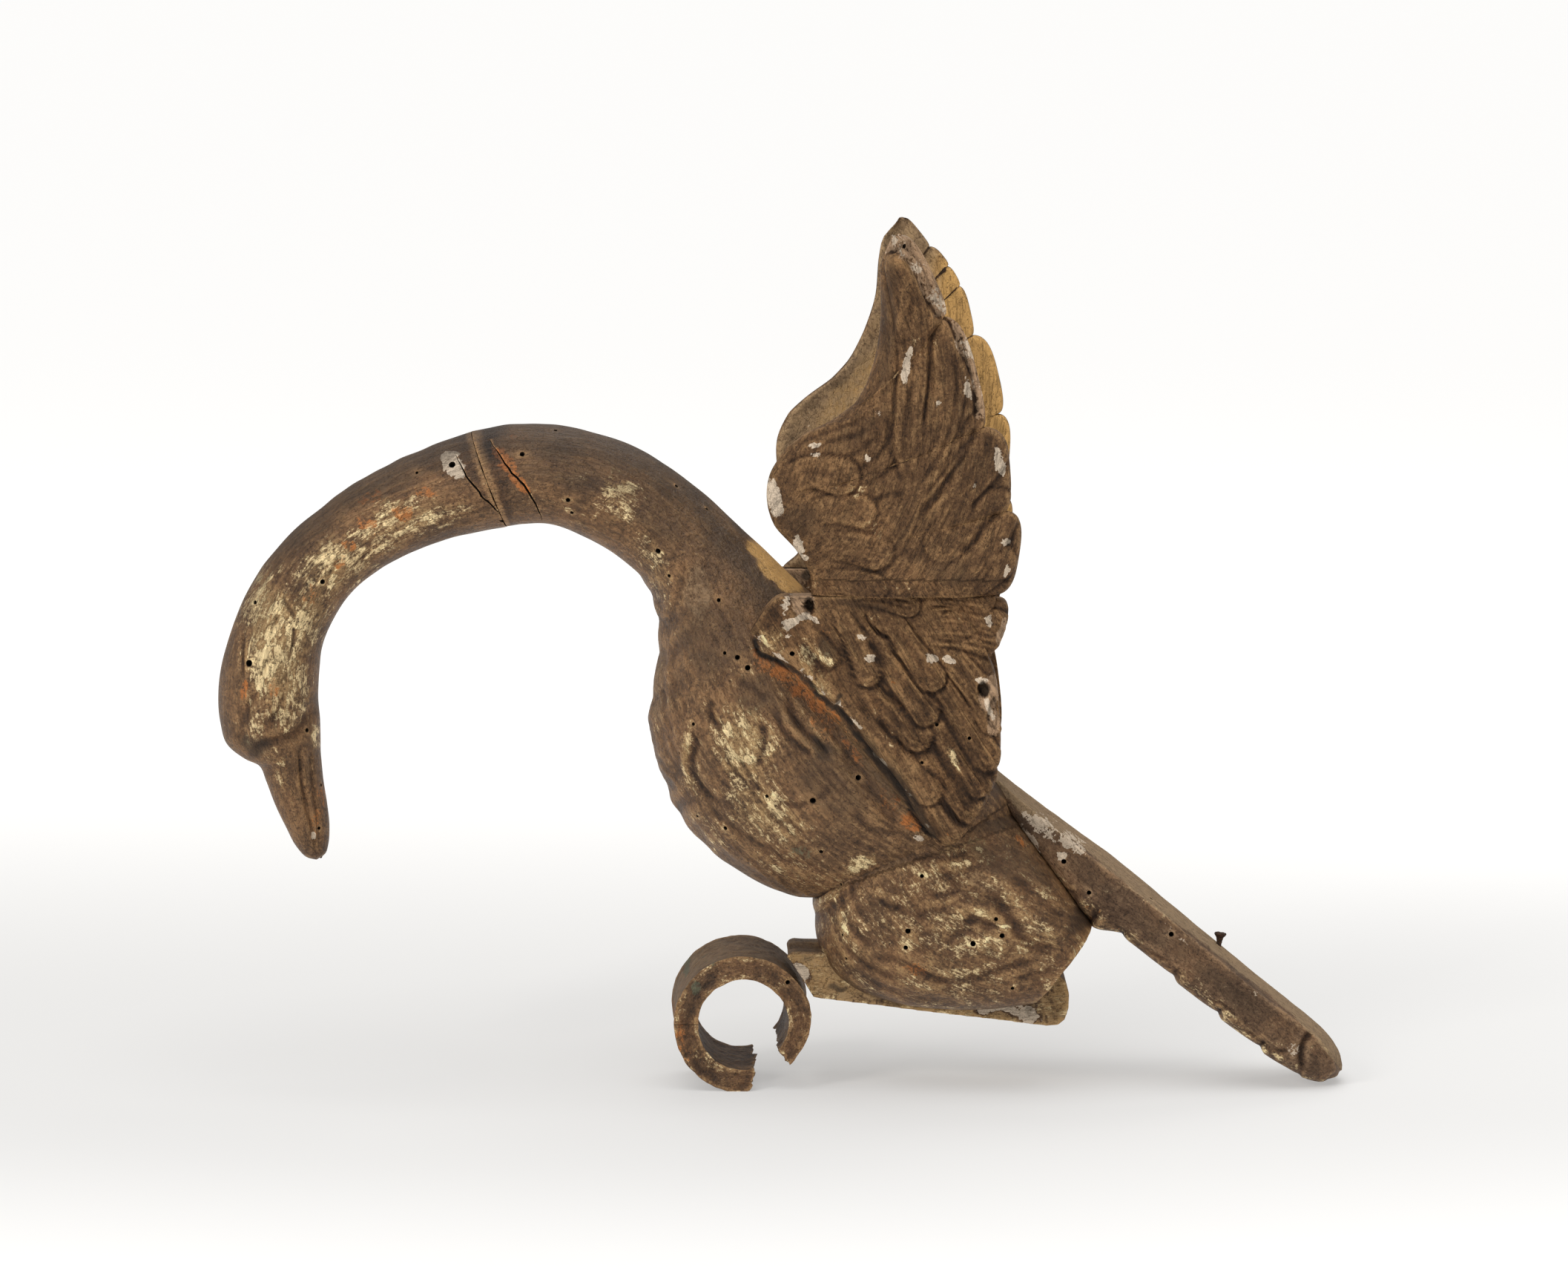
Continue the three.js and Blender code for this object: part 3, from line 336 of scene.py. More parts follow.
# Patches of finish and wear as the view sees them: x, z, the two half widths, the turn in degrees and
# how much of the surface they take.
PATCHES = {
    "head_neck": {
        "gold": (
            (-204.9, 178.5, 12, 33.6, 8, 0.95), (-212.1, 151.3, 6.6, 15, 0, 0.6),
            (-183, 211.1, 14.4, 10.8, 45, 0.85), (-158.9, 228.9, 19.8, 7.8, 30, 0.75),
            (-135, 232.8, 13.2, 6, 15, 0.6), (-197, 151.3, 6.6, 9, 0, 0.6),
            (-183.6, 139.2, 3, 10.2, 0, 0.45), (-150, 226, 26, 6.5, 27, 0.75),
            (-172, 211.5, 15, 8, 45, 0.75), (-191, 190, 8, 20, -15, 0.85), (-198, 160, 9, 15, 0, 0.75),
            (-201.5, 127, 3.5, 12, 15, 0.6), (-187.5, 141, 1.6, 5, 0, 0.9),
        ),
        "bole": (
            (-152.6, 232.5, 4.2, 3.3, 30, 0.9), (-167.3, 228.3, 3.9, 3, 20, 0.9),
            (-143.3, 241.2, 4.8, 3.3, 0, 0.7), (-166, 238.5, 5.4, 2.7, 20, 0.6),
            (-173.4, 219, 2.7, 2.1, 0, 0.8), (-178.5, 211.7, 2.7, 2.4, 0, 0.8),
            (-189.4, 199.4, 3.3, 3.9, 0, 0.7), (-216.2, 161, 1.8, 4.5, 0, 0.8),
            (-203.9, 161, 2.1, 3.9, 0, 0.6), (-162, 220.8, 4.2, 2.4, 30, 0.5),
            (-187, 112, 1.8, 13, -5, 0.55),
        ),
        "gesso": ((-132.1, 252, 4.4, 6, 35, 1), (-189.2, 101.5, 0.9, 1.5, 0, 0.9)),
        "soot": (
            (-211.9, 137.4, 6, 4.2, 0, 0.8), (-225.7, 143.7, 3, 7.8, 0, 0.4),
            (-192.1, 202.7, 4.8, 3, 0, 0.4), (-132.1, 217.8, 15, 3, 10, 0.5),
        ),
    },
    "body": {
        "gold": (
            (-63.7, 238.2, 9, 10.8, 0, 0.75), (-49.7, 211.7, 5.1, 16.8, 20, 0.65),
            (-87.1, 233.4, 18, 3.9, -14, 0.45), (-14.1, 136.8, 12, 18.6, 10, 0.9),
            (-36.4, 132.2, 4.5, 18.6, 0, 0.65), (-6.3, 110.3, 22.2, 10.2, -36, 0.8),
            (2.7, 89, 19.8, 7.2, -20, 0.55), (-46.4, 200.9, 3.6, 6, 0, 0.6),
            (-27.4, 99.7, 12, 9, -40, 0.55), (24.7, 66.2, 4.8, 15, 5, 0.65), (43.1, 63.1, 9, 7.2, -30, 0.5),
            (82.9, 68.6, 6.6, 2.4, -12, 0.8), (109.2, 59.1, 8.4, 3.9, -25, 0.7),
            (86.6, 55.5, 7.2, 3.9, -15, 0.7), (32.8, 89, 3, 10.2, -52, 0.8),
            (55.5, 38.6, 22.2, 3.3, -25, 0.5), (66, 84.5, 9, 3, -15, 0.35),
        ),
        "bole": (
            (-107.9, 249, 10.2, 2.7, -52, 1), (-106.7, 262.8, 9.6, 2.4, 5, 0.45),
            (-0.3, 165.8, 4.2, 2.7, -45, 0.6), (7.2, 160.4, 6, 2.7, -40, 0.9),
            (16.2, 146.8, 7.8, 3.3, -48, 0.6), (29.8, 134.6, 7.2, 2.7, -55, 0.7),
            (44.8, 116.4, 7.8, 2.7, -60, 0.6), (54.5, 105.8, 6, 4.2, -50, 0.9),
            (55.8, 45.4, 3.9, 2.1, -15, 0.6), (97, 97.9, 3, 1.2, -60, 0.8),
        ),
        "soot": (
            (-10.2, 158.9, 9, 7.2, -35, 0.6), (17.1, 135.5, 8.4, 3.9, -38, 0.8),
            (-1.8, 152.8, 7.8, 3, -45, 0.5), (-87, 259.8, 21, 4.8, -8, 0.6),
            (-49.7, 232.8, 18, 7.8, -42, 0.5), (-27.3, 202.7, 9, 13.8, 20, 0.35),
            (94.6, 89, 19.8, 6.6, -25, 0.55), (38.8, 124, 9, 4.8, -50, 0.6),
            (123.3, 67.7, 4.8, 7.2, -40, 0.7), (-26, 182, 16, 15, 0, 0.6), (22, 122, 18, 12, -40, 0.5),
            # The soot at 30.3, 145.3 paints shade into the beetle hole there.
            (-80, 247, 30, 6, -12, 0.55), (30.3, 145.3, 1.4, 1.2, 0, 1.4),
        ),
        "green": ((9.6, 94.5, 4.2, 2.7, 0, 0.7),),
        "ochre": ((-1.5, 210.5, 5, 15, 44, 1), (-22.7, 229.8, 2.4, 8, 40, 0.3)),
        # The two grey patches on the breast are dust together with a painted sheen.
        "dust": (
            (-32.7, 198.2, 5.4, 12, 0, 0.5), (-49.8, 169.5, 3, 27, 0, 0.45),
            (82.6, 81.4, 12, 3.6, -15, 0.4),
        ),
        "gesso": ((56.3, 99.4, 2.1, 0.6, 0, 0.9),),
    },
    "wing_root": {
        "gold": (
            (-2.7, 182.2, 6, 6.6, 0, 0.65), (13.2, 172.5, 6, 11.4, 35, 0.75),
            (17.7, 161.9, 4.8, 7.2, 35, 0.7), (40.9, 148.3, 3, 12.6, 28, 0.45),
            (69.7, 132.2, 1.5, 6, 28, 0.9), (44.7, 190.6, 9, 3, 0, 0.35), (77.7, 190, 7.2, 1.8, 10, 0.4),
        ),
        "gesso": (
            (36.9, 172.5, 1.8, 1.2, 0, 1), (61.5, 173.4, 2.4, 1.5, -20, 1), (69, 172.3, 2.6, 1, -15, 0.9),
            (33, 182.5, 0.7, 2.4, 40, 0.9), (84.3, 188.8, 0.9, 2.1, 15, 1), (81.7, 164.3, 2.4, 1.2, 0, 1),
            (84.7, 152.8, 0.9, 4.8, 20, 1), (3.1, 195.6, 0.8, 4, -14, 1), (1.9, 188.9, 1, 3.4, 0, 1),
            (3, 184.8, 0.6, 2, 15, 1), (5.6, 188.3, 2.6, 0.9, 6, 1), (10.6, 190.4, 1.8, 1.2, 0, 1),
            (14.2, 188.4, 2.3, 0.7, -40, 1), (10.6, 202.8, 1.6, 0.9, -30, 1),
        ),
        "bare": (
            (90.6, 184, 2.1, 4.8, -15, 1), (85, 158, 3.9, 7.2, 0, 1), (86.8, 146.8, 2.4, 4.8, 0, 0.8),
            (9.4, 196.5, 4.4, 6.6, 8, 1),
        ),
        "soot": (
            # The soot at 82.9, 159.8 and at 12.2, 194 paints shade into the broken hollows there.
            (82.9, 159.8, 2.1, 3, 0, 1), (18.9, 177.9, 2.7, 4.8, 30, 0.8), (12.2, 194, 1.5, 2.5, 0, 1.4),
            (74.6, 199.7, 6, 1.8, 0, 0.3), (23.6, 155.3, 1, 3.2, -20, 1.3),
            (32.7, 195.2, 12, 1.8, -10, 0.5),
        ),
        "bole": (
            (19.2, 185.2, 1.8, 4.2, 35, 0.6), (69.8, 101.2, 2.4, 1.5, 0, 0.5),
            (46.2, 164.9, 0.9, 1.8, 35, 0.6),
        ),
    },
    "wing_blade": {
        "gesso": (
            (-2.7, 238.2, 2.7, 7.8, 15, 1), (7.8, 218.7, 1.5, 3.6, 20, 1), (10.2, 214.1, 2.1, 0.8, -35, 1),
            (14.4, 260.1, 2.1, 0.9, 15, 1), (14.4, 255.9, 1.8, 0.9, 0, 1), (35.9, 254.4, 0.8, 1.2, 30, 1),
            (51, 292.8, 1.2, 7.8, -12, 1), (91.3, 220.5, 2.1, 1.2, 0, 0.9),
            (91.7, 208.7, 0.9, 1.8, -20, 0.9), (84.6, 188.8, 1.8, 0.9, 0, 0.9),
            (75.8, 282.3, 1.2, 3.6, 0, 1), (88.5, 252.3, 1.5, 5.4, 15, 1), (78.1, 243.3, 0.6, 1.5, 0, 0.8),
            (39.7, 272.7, 0.6, 1.5, 30, 0.7), (64.2, 276.3, 0.9, 0.9, 0, 0.9),
        ),
        "gold": (
            (56.4, 300.2, 6.6, 5.4, 0, 0.4), (29.6, 241.8, 6, 3.3, -30, 0.5),
            (36.2, 226.2, 4.5, 2.7, -20, 0.6), (14.7, 202.7, 9, 3, 0, 0.3), (49.1, 202.7, 9, 3, 0, 0.3),
            (85.1, 195.2, 4.2, 2.4, 0, 0.4),
        ),
        "soot": (
            (8.7, 229.8, 7.2, 6, 0, 0.5), (67.1, 208.7, 9, 5.4, 0, 0.45), (28.1, 262.8, 12, 3.6, 35, 0.4),
            (43.4, 306, 3, 34, -4, 0.5), (63.8, 328.6, 2.4, 10.8, 10, 0.6), (74.4, 259.8, 5.4, 15, 0, 0.35),
        ),
    },
    "tail": {
        "gesso": (
            (106.6, 105.2, 8.2, 3.3, -42, 0.75), (114.7, 92.4, 2.7, 1.8, 0, 1),
            (118, 98.2, 7.4, 3, -35, 0.7), (101.5, 98.3, 2, 7.8, 30, 0.8), (158.6, 62, 9, 0.9, -38, 0.36),
            (192.4, 36.6, 3, 0.9, -35, 0.45), (210, 13, 2, 3, 0, 0.5),
        ),
        "soot": (
            (126.2, 84.5, 13.2, 4.2, -40, 0.5), (153.5, 61.1, 18, 4.2, -39, 0.45),
            (183.9, 36.6, 18, 3.6, -39, 0.5), (99, 105.8, 4.8, 1.8, -50, 0.7),
        ),
        "bole": ((107.3, 88, 8, 1.3, -57, 1),),
        "gold": (
            (208.3, 4.9, 4.8, 3, -30, 0.5), (129.3, 69.2, 7.8, 2.7, -45, 0.4),
            (165.8, 35.6, 12, 2.4, -38, 0.4), (218.8, 15.7, 4.2, 3, 0, 0.35),
        ),
    },
    "scroll_rail": {
        "gesso": (
            (8.7, 44.2, 1.7, 3.4, 35, 1), (94, 29.2, 10, 1.4, -13, 1.2), (101, 27.8, 5, 2.6, -30, 1.3),
            (83.7, 29.1, 3.3, 1.2, 0, 0.9),
        ),
        "gold": (
            (20.8, 41.7, 15, 3, -8, 0.8), (45, 32.5, 18, 2.4, -6, 0.6), (108.4, 29.4, 4.2, 5.4, 0, 0.7),
        ),
        "soot": (
            (23.8, 37.7, 4.2, 0.9, 0, 0.9), (10.2, 52.4, 9, 3, 0, 0.5), (103.9, 32.5, 1.8, 6, -30, 0.6),
            (47.4, 31.9, 2.4, 1.5, 0, 0.7),
        ),
    },
    "scroll_curl": {
        "green": ((-34.1, 38.6, 2.4, 2.7, 0, 1), (-26.3, 47.2, 1.8, 1.2, 20, 0.8)),
        "bole": ((-40.5, 17.2, 2.4, 7.8, 0, 0.7), (-38.1, 9.5, 2.4, 3.6, 0, 0.6)),
        "gold": (
            (-15.4, 49.6, 12, 2.7, 5, 0.5), (5.7, 23.3, 4.2, 12, 0, 0.4), (-36.6, 4.9, 4.2, 7.2, -30, 0.35),
            (-3.3, 43.2, 9, 3.6, -40, 0.4),
        ),
    },
}
# How many beetle holes the sides that the view can't see get.
FAR_HOLES = {
    "head_neck": 6, "body": 22, "wing_root_right": 5, "wing_blade_right": 4, "wing_blade_left": 1,
    "tail": 5, "scroll_rail": 2,
}
# Broken hollows in the wing roots: x and z, their half widths and their depth.
ROOT_LOSSES = (
    (12.2, 194, 1.9, 2.9, 4.5), (9, 196, 4.5, 7, 1), (82.5, 160.5, 2.4, 3.4, 3.5), (87, 150, 3, 7, 2),
)
# The open joint between the breast and the wing root.
ROOT_GAP = (
    (-10.1, 180.9), (-7.9, 175.3), (-0.2, 172), (9.8, 165.3), (15.3, 158.4), (20.9, 154.2), (25.8, 150.3),
    (30.8, 143), (35.2, 136.9), (39.7, 130.8), (46.3, 123.6), (51.3, 116.3), (54, 110.8), (59.6, 103),
    (65.1, 98.5),
)
TAIL_EDGE = (
    (92.4, 115.5), (97.2, 111.1), (110.7, 102.5), (119.7, 97.8), (126, 93.6), (134.1, 86.7), (141.3, 80.3),
    (150.3, 72.8), (158.7, 65.8), (170.7, 57.4), (186.2, 44.8), (197.7, 36.2), (208.7, 26.5), (215.7, 20),
    (220, 15),
)
TAIL_GROOVES = (
    (1.5, 1.5, ((217.6, 22), (213.6, 15.5), (212.4, 10.4), (213.4, 2.7))),
    (0.7, 1.1, ((189, 21.5), (196, 15.5), (203, 12), (209, 12.5))),
    (0.6, 1, ((134, 66), (143, 58.5), (152, 52), (160, 48))),
    (0.5, 1, ((163, 41), (172, 34.5), (180, 31.5), (188, 24))),
)
# The way the tail runs, and where along it the notches of its lower edge lie.
TAIL_RUN = np.array([0.766, -0.643])
TAIL_NOTCHES = np.array([55, 68.5, 94.3, 119, 140.8, 160.5, 172])
# How the plumage runs: along the middle of these, in a fan on a wing blade and slanting on a wing root.
COURSES = {"head_neck": HEAD, "breast": BREAST, "rump": RUMP, "tail": TAIL}
FAN_MIDDLE = (-53, 273)
FAN_REACH = 110
QUILL_RUN = np.array([0.5, -0.866])
QUILL_ACROSS = np.array([0.866, 0.5])
STRAND_PITCH = 3.2

# How the surfaces are cut: sizes in millimetres, and the numbers that stir the smooth noise.
NOISE_KEYS = (73856093, 19349663, 83492791)
NOISE_MIX = 1274126177
NOISE_STEP = 31.7
UNREACHED = 999.0
BATCH = 20000
OUTLINE_STEPS = 720
WELDING = 0.001
BLADE_CHORD = 78
ROOT_LENGTH = 105
RAIL_CELL = 0.8
SHARP_EDGE = radians(55)
PROUD_RANGE = (-0.8, 0.35)
PROUD_BLURS = (10, 40)
COATS = ("gold", "bole", "gesso", "ochre")
STAINS = ("soot", "bare", "green", "dust")


def soft(value, low, high):
    """0 below low, 1 above high, and smooth between them."""
    share = np.clip((value - low) / (high - low), 0, 1)
    return share * share * (3 - 2 * share)


def grain(points, size, seed=0):
    """Smooth noise from -1 to 1 whose lumps are about that size."""
    place = points / size + NOISE_STEP * seed
    cell = np.floor(place).astype(np.int64)
    share = place - cell
    share = share * share * (3 - 2 * share)
    total = np.zeros(len(points))
    for corner in product((0, 1), repeat=3):
        key = ((cell + corner) * NOISE_KEYS).sum(axis=1)
        key = (key ^ (key >> 13)) * NOISE_MIX
        value = ((key ^ (key >> 16)) & 0xFFFF) / 0x7FFF - 1
        total += value * np.prod(np.where(corner, share, 1 - share), axis=1)
    return total


def smoothed(rows, times):
    """The station rows at fractional row numbers, smoothed through their neighbours."""
    rows = np.asarray(rows, float)
    last = len(rows) - 1
    here = np.clip(np.floor(times).astype(int), 0, last - 1)
    local = (times - here)[:, None]
    middle = (rows[:, 0:2] + rows[:, 2:4]) / 2
    steps = np.maximum(np.sqrt(np.linalg.norm(np.diff(middle, axis=0), axis=1)), 0.5)[:, None]
    inner = steps[here]
    first = steps[np.maximum(here - 1, 0)]
    final = steps[np.minimum(here + 1, last - 1)]
    before, start = rows[np.maximum(here - 1, 0)], rows[here]
    end, after = rows[here + 1], rows[np.minimum(here + 2, last)]
    along = (end - start) / inner
    start_slope = inner * ((start - before) / first - (end - before) / (first + inner) + along)
    end_slope = inner * (along - (after - start) / (inner + final) + (after - end) / final)
    square = 3 * (end - start) - 2 * start_slope - end_slope
    cube = 2 * (start - end) + start_slope + end_slope
    return start + start_slope * local + square * local**2 + cube * local**3


def section(values, angles, reach=1.0, grown=0.0):
    """Points of cross-sections by polar angle from their back edge, one row of points for each section."""
    back_x, back_z, front_x, front_z, half, square, square_front, widest = values.T[:, :, None]
    cosine, sine = np.cos(angles), np.sin(angles)
    power = np.where(cosine > 0, square, square_front)
    radius = (np.abs(cosine) ** power + np.abs(sine) ** power) ** (-1 / power)
    along, across = radius * cosine, radius * sine
    depth = np.where(along > 0, widest + (1 - widest) * along, widest + (1 + widest) * along)
    deep = np.hypot(back_x - front_x, back_z - front_z) / 2
    lift = depth * reach * (deep + grown) / deep / 2
    x = (back_x + front_x) / 2 + (back_x - front_x) * lift
    z = (back_z + front_z) / 2 + (back_z - front_z) * lift
    return np.stack([x, across * reach * (half + grown), z], axis=2)


def evenly(lengths, count):
    """Fractional sample numbers that cut a run of lengths into equal parts."""
    total = np.concatenate([[0], np.cumsum(lengths)])
    return np.interp(np.linspace(0, total[-1], count), total, np.arange(len(total)))


def mesh_from(bm, name):
    mesh = bpy.data.meshes.new(name)
    bm.to_mesh(mesh)
    bm.free()
    return mesh


def read(rows, field):
    """A list of vectors that a mesh holds."""
    found = np.empty(len(rows) * 3, np.float32)
    rows.foreach_get(field, found)
    return found.reshape(-1, 3).astype(float)


def corners(mesh):
    return read(mesh.vertices, "co")


def place_corners(mesh, points):
    mesh.vertices.foreach_set("co", np.ascontiguousarray(points, np.float32).ravel())
    mesh.update()


def outwards(mesh):
    return read(mesh.vertex_normals, "vector")


def welded(mesh):
    """Merges the seam and the poles of a mesh and turns its faces outwards."""
    bm = bmesh.new()
    bm.from_mesh(mesh)
    bmesh.ops.remove_doubles(bm, verts=bm.verts, dist=WELDING)
    bmesh.ops.recalc_face_normals(bm, faces=bm.faces)
    bm.to_mesh(mesh)
    bm.free()
    return mesh


def grid_mesh(name, shape, points):
    """A grid of rows and columns laid on points, closed where its edges meet."""
    rows, columns = shape
    bm = bmesh.new()
    bmesh.ops.create_grid(bm, x_segments=columns - 1, y_segments=rows - 1, size=1)
    mesh = mesh_from(bm, name)
    flat = corners(mesh)
    row = np.rint((flat[:, 1] + 1) / 2 * (rows - 1)).astype(int)
    column = np.rint((flat[:, 0] + 1) / 2 * (columns - 1)).astype(int)
    place_corners(mesh, points[row, column])
    return welded(mesh)


def loft(name, rows, rings, sides, ends=(4, 4), grown=0.0, near=1.4):
    """A closed body through its stations, with evenly spaced rings and more sides on its near half."""
    dense = np.linspace(0, len(rows) - 1, 24 * len(rows))
    rough = section(smoothed(rows, dense), np.linspace(0, tau, 24, endpoint=False))
    steps = np.linalg.norm(np.diff(rough, axis=0), axis=2).mean(axis=1)
    times = np.interp(evenly(steps, rings), np.arange(len(dense)), dense)
    times = np.concatenate([np.zeros(ends[0]), times, np.full(ends[1], len(rows) - 1.0)])
    start, end = (np.arange(count) / count for count in ends)
    reach = np.concatenate([start, np.ones(rings), end[::-1]])
    values = smoothed(rows, times)
    angles = np.linspace(0, tau, OUTLINE_STEPS + 1)
    fine = section(values, angles[None, :], reach[:, None] + 1e-4, grown)
    points = np.empty((len(times), sides + 1, 3))
    weight = np.where(np.sin((angles[1:] + angles[:-1]) / 2) < 0, near, 1)
    for ring, outline in enumerate(fine):
        spacing = np.linalg.norm(np.diff(outline, axis=0), axis=1) * weight
        share = evenly(spacing, sides + 1)
        for axis in range(3):
            points[ring, :, axis] = np.interp(share, np.arange(OUTLINE_STEPS + 1), outline[:, axis])
    points[reach == 0] = points[reach == 0].mean(axis=1, keepdims=True)
    points[:, -1] = points[:, 0]
    return grid_mesh(name, (len(times), sides + 1), points)


def block(name, cuts, place):
    """A cube cut into that many parts each way, its corners placed by a rule on numbers from 0 to 1."""
    bm = bmesh.new()
    bmesh.ops.create_cube(bm, size=1)
    for axis, count in enumerate(cuts):
        if count > 1:
            ends = [(edge, *(corner.co[axis] for corner in edge.verts)) for edge in bm.edges]
            edges = [edge for edge, start, end in ends if abs(start - end) > 0.9]
            bmesh.ops.subdivide_edges(bm, edges=edges, cuts=count - 1, use_grid_fill=True)
    mesh = mesh_from(bm, name)
    place_corners(mesh, place(*(corners(mesh).T + 0.5)))
    return welded(mesh)


def linked(name, data):
    """A new object in the scene."""
    thing = bpy.data.objects.new(name, data)
    bpy.context.scene.collection.objects.link(thing)
    return thing


def outcome(*things):
    """The mesh that the first object's modifier makes. The objects and their own meshes go."""
    graph = bpy.context.evaluated_depsgraph_get()
    result = bpy.data.meshes.new_from_object(things[0].evaluated_get(graph))
    for thing in things:
        mesh = thing.data
        bpy.data.objects.remove(thing)
        bpy.data.meshes.remove(mesh)
    return result


def merge(mesh, other, operation="DIFFERENCE"):
    """The mesh cut by, or joined with, the other one."""
    things = [linked("working", part) for part in (mesh, other)]
    change = things[0].modifiers.new("merge", "BOOLEAN")
    change.solver = "MANIFOLD"
    change.operation = operation
    change.material_mode = "TRANSFER"
    change.object = things[1]
    return outcome(*things)


def line_through(points, steps=6):
    """A smooth line through [x, z] points."""
    points = np.asarray(points, float)
    ghosts = np.vstack([2 * points[0] - points[1], points, 2 * points[-1] - points[-2]])
    share = (np.arange(steps) / steps)[:, None]
    bits = []
    for a, b, c, d in zip(ghosts, ghosts[1:], ghosts[2:], ghosts[3:]):
        bend = (2 * a - 5 * b + 4 * c - d) * share**2 + (3 * b - a - 3 * c + d) * share**3
        bits.append(b + ((c - a) * share + bend) / 2)
    return np.vstack([*bits, points[-1:]])


def beside(spots, line, reach=1e9):
    """How far spots lie to the left of a line, where along it from 0 to 1, and its length."""
    away, run = np.full(len(spots), UNREACHED), np.zeros(len(spots))
    inside = ((spots > line.min(axis=0) - reach) & (spots < line.max(axis=0) + reach)).all(axis=1)
    start, step = line[:-1], np.diff(line, axis=0)
    length = np.linalg.norm(step, axis=1)
    total = np.concatenate([[0], np.cumsum(length)])
    for chosen in np.array_split(np.flatnonzero(inside), 1 + inside.sum() // BATCH):
        gap = spots[chosen][:, None] - start
        share = np.clip((gap * step).sum(axis=2) / length**2, 0, 1)
        gap -= share[..., None] * step
        distance = np.hypot(gap[..., 0], gap[..., 1])
        best = distance.argmin(axis=1)
        pick = np.arange(len(chosen))
        side = step[best, 0] * gap[pick, best, 1] - step[best, 1] * gap[pick, best, 0]
        away[chosen] = np.copysign(distance[pick, best], side)
        run[chosen] = (total[best] + share[pick, best] * length[best]) / total[-1]
    return away, run, total[-1]


def feather(height, spots, points, width, lift, barbs=0.12):
    """Lays a round-tipped feather along a line over what is carved, with an outline cut round it."""
    away, run, _ = beside(spots, line_through(points), 1.7 * width)
    half = width * (0.72 + 0.28 * run)
    across = np.abs(away) / half
    start = soft(run, 0.02, 0.3)
    crown = lift * (0.3 + 0.7 * run) * (1 - 0.5 * across**2)
    crown -= 0.3 * lift * np.exp(-((away / 0.7) ** 2)) * soft(1 - run, 0.05, 0.2)
    crown += barbs * np.cos(away * tau / 2.5) * (0.7 + 0.6 * grain(np.c_[spots, away], 5, 2))
    height += soft(1.04 - across, 0, 0.16) * start * (crown - 0.85 * height)
    outline = (across - 1.05) * half
    height -= 0.35 * lift * start * np.exp(-((outline / 0.65) ** 2))


def seen(points):
    """Where the main view sees points on the middle plane, the far side mirrored and a little astray."""
    stretch = EYE[1] / (EYE[1] + np.abs(points[:, 1]))
    spots = EYE[[0, 2]] + (points[:, [0, 2]] - EYE[[0, 2]]) * stretch[:, None]
    astray = np.column_stack([grain(points, 45, 8), grain(points, 45, 9)]) * 4 + (4, -3)
    return spots + astray * soft(points[:, 1], 0, 12)[:, None]


def carve(mesh, rule):
    """Moves every corner outwards by the height in millimetres that the rule gives it."""
    points, normals = corners(mesh), outwards(mesh)
    place_corners(mesh, points + normals * rule(points, normals)[:, None])
    return mesh


def middle_line(rows):
    """The smooth middle line of a lofted body in the side view."""
    values = smoothed(rows, np.linspace(0, len(rows) - 1, 4 * len(rows)))
    return (values[:, 0:2] + values[:, 2:4]) / 2


def over_rump(spots):
    """1 on the rump and 0 on the breast that overhangs it."""
    return soft(76.4 + (spots[:, 0] - 13.5) * 0.35 - spots[:, 1], -1, 2) * soft(spots[:, 0], 4, 9)


def course(spots, node):
    """Where spots lie along and across the run of the plumage, in millimetres."""
    if node == "body":
        neck, rump = (course(spots, part) for part in ("breast", "rump"))
        return np.where(over_rump(spots)[:, None] > 0.5, rump, neck)
    away, run, length = beside(spots, middle_line(COURSES[node]))
    return np.column_stack([run * length, away])


def flats(points):
    """The flats that the knife left, which run into each other."""
    return 0.35 * grain(points, 18, 3) + 0.18 * grain(points, 7, 4)


def strands(points, along, across, depth):
    """Fine strands combed along the plumage."""
    sway = 1.5 * grain(points, 16, 5)
    fine = np.cos((across + sway) * tau / STRAND_PITCH)
    close = np.cos((across + 1.3 * sway) * tau / STRAND_PITCH * 1.9 + along * 0.05)
    return depth * (0.65 + 0.5 * grain(points, 11, 6)) * (fine + 0.45 * close)


def grooved(spots, grooves):
    """Grooves of a depth and half width along lines, or ridges where the depth is negative."""
    height = np.zeros(len(spots))
    for depth, width, places in grooves:
        away, run, _ = beside(spots, line_through(places), 3 * width)
        height -= depth * soft(run, 0, 0.2) * soft(1 - run, 0, 0.2) * np.exp(-((away / width) ** 2))
    return height


def joint_cut(spots):
    """The joint between the breast and the wing root as a thin cut."""
    return -1.3 * np.exp(-((beside(spots, line_through(ROOT_GAP), 4)[0] / 0.9) ** 2))


def plumage(points, normals, part):
    """Where the view sees points, where they lie in a part's plumage, and 1 on the part's sides."""
    spots = seen(points)
    return (spots, *course(spots, part).T, soft(np.abs(normals[:, 1]), 0.05, 0.35))


def breast_relief(points, normals):
    spots, along, across, side = plumage(points, normals, "breast")
    fine = strands(points, along, across, 0.05 + 0.1 * soft(along, 95, 175))
    front = soft(-normals[:, 0], 0.4, 0.9) * soft(along, 70, 110)
    ripples = 0.45 * front * np.cos((along + 4 * grain(points, 16, 23)) * tau / 13)
    return flats(points) + ripples + side * (grooved(spots, BREAST_GROOVES) + joint_cut(spots) + fine)


def rump_relief(points, normals):
    spots, along, across, side = plumage(points, normals, "rump")
    return flats(points) + side * (grooved(spots, RUMP_GROOVES) + strands(points, along, across, 0.1))


def head_relief(points, normals):
    spots, along, across, side = plumage(points, normals, "head_neck")
    neck = soft(along, 60, 120)
    fine = strands(points, along, across, 0.03 + 0.06 * neck)
    return flats(points) * (0.45 + 0.75 * neck) + side * (grooved(spots, HEAD_GROOVES) + fine)


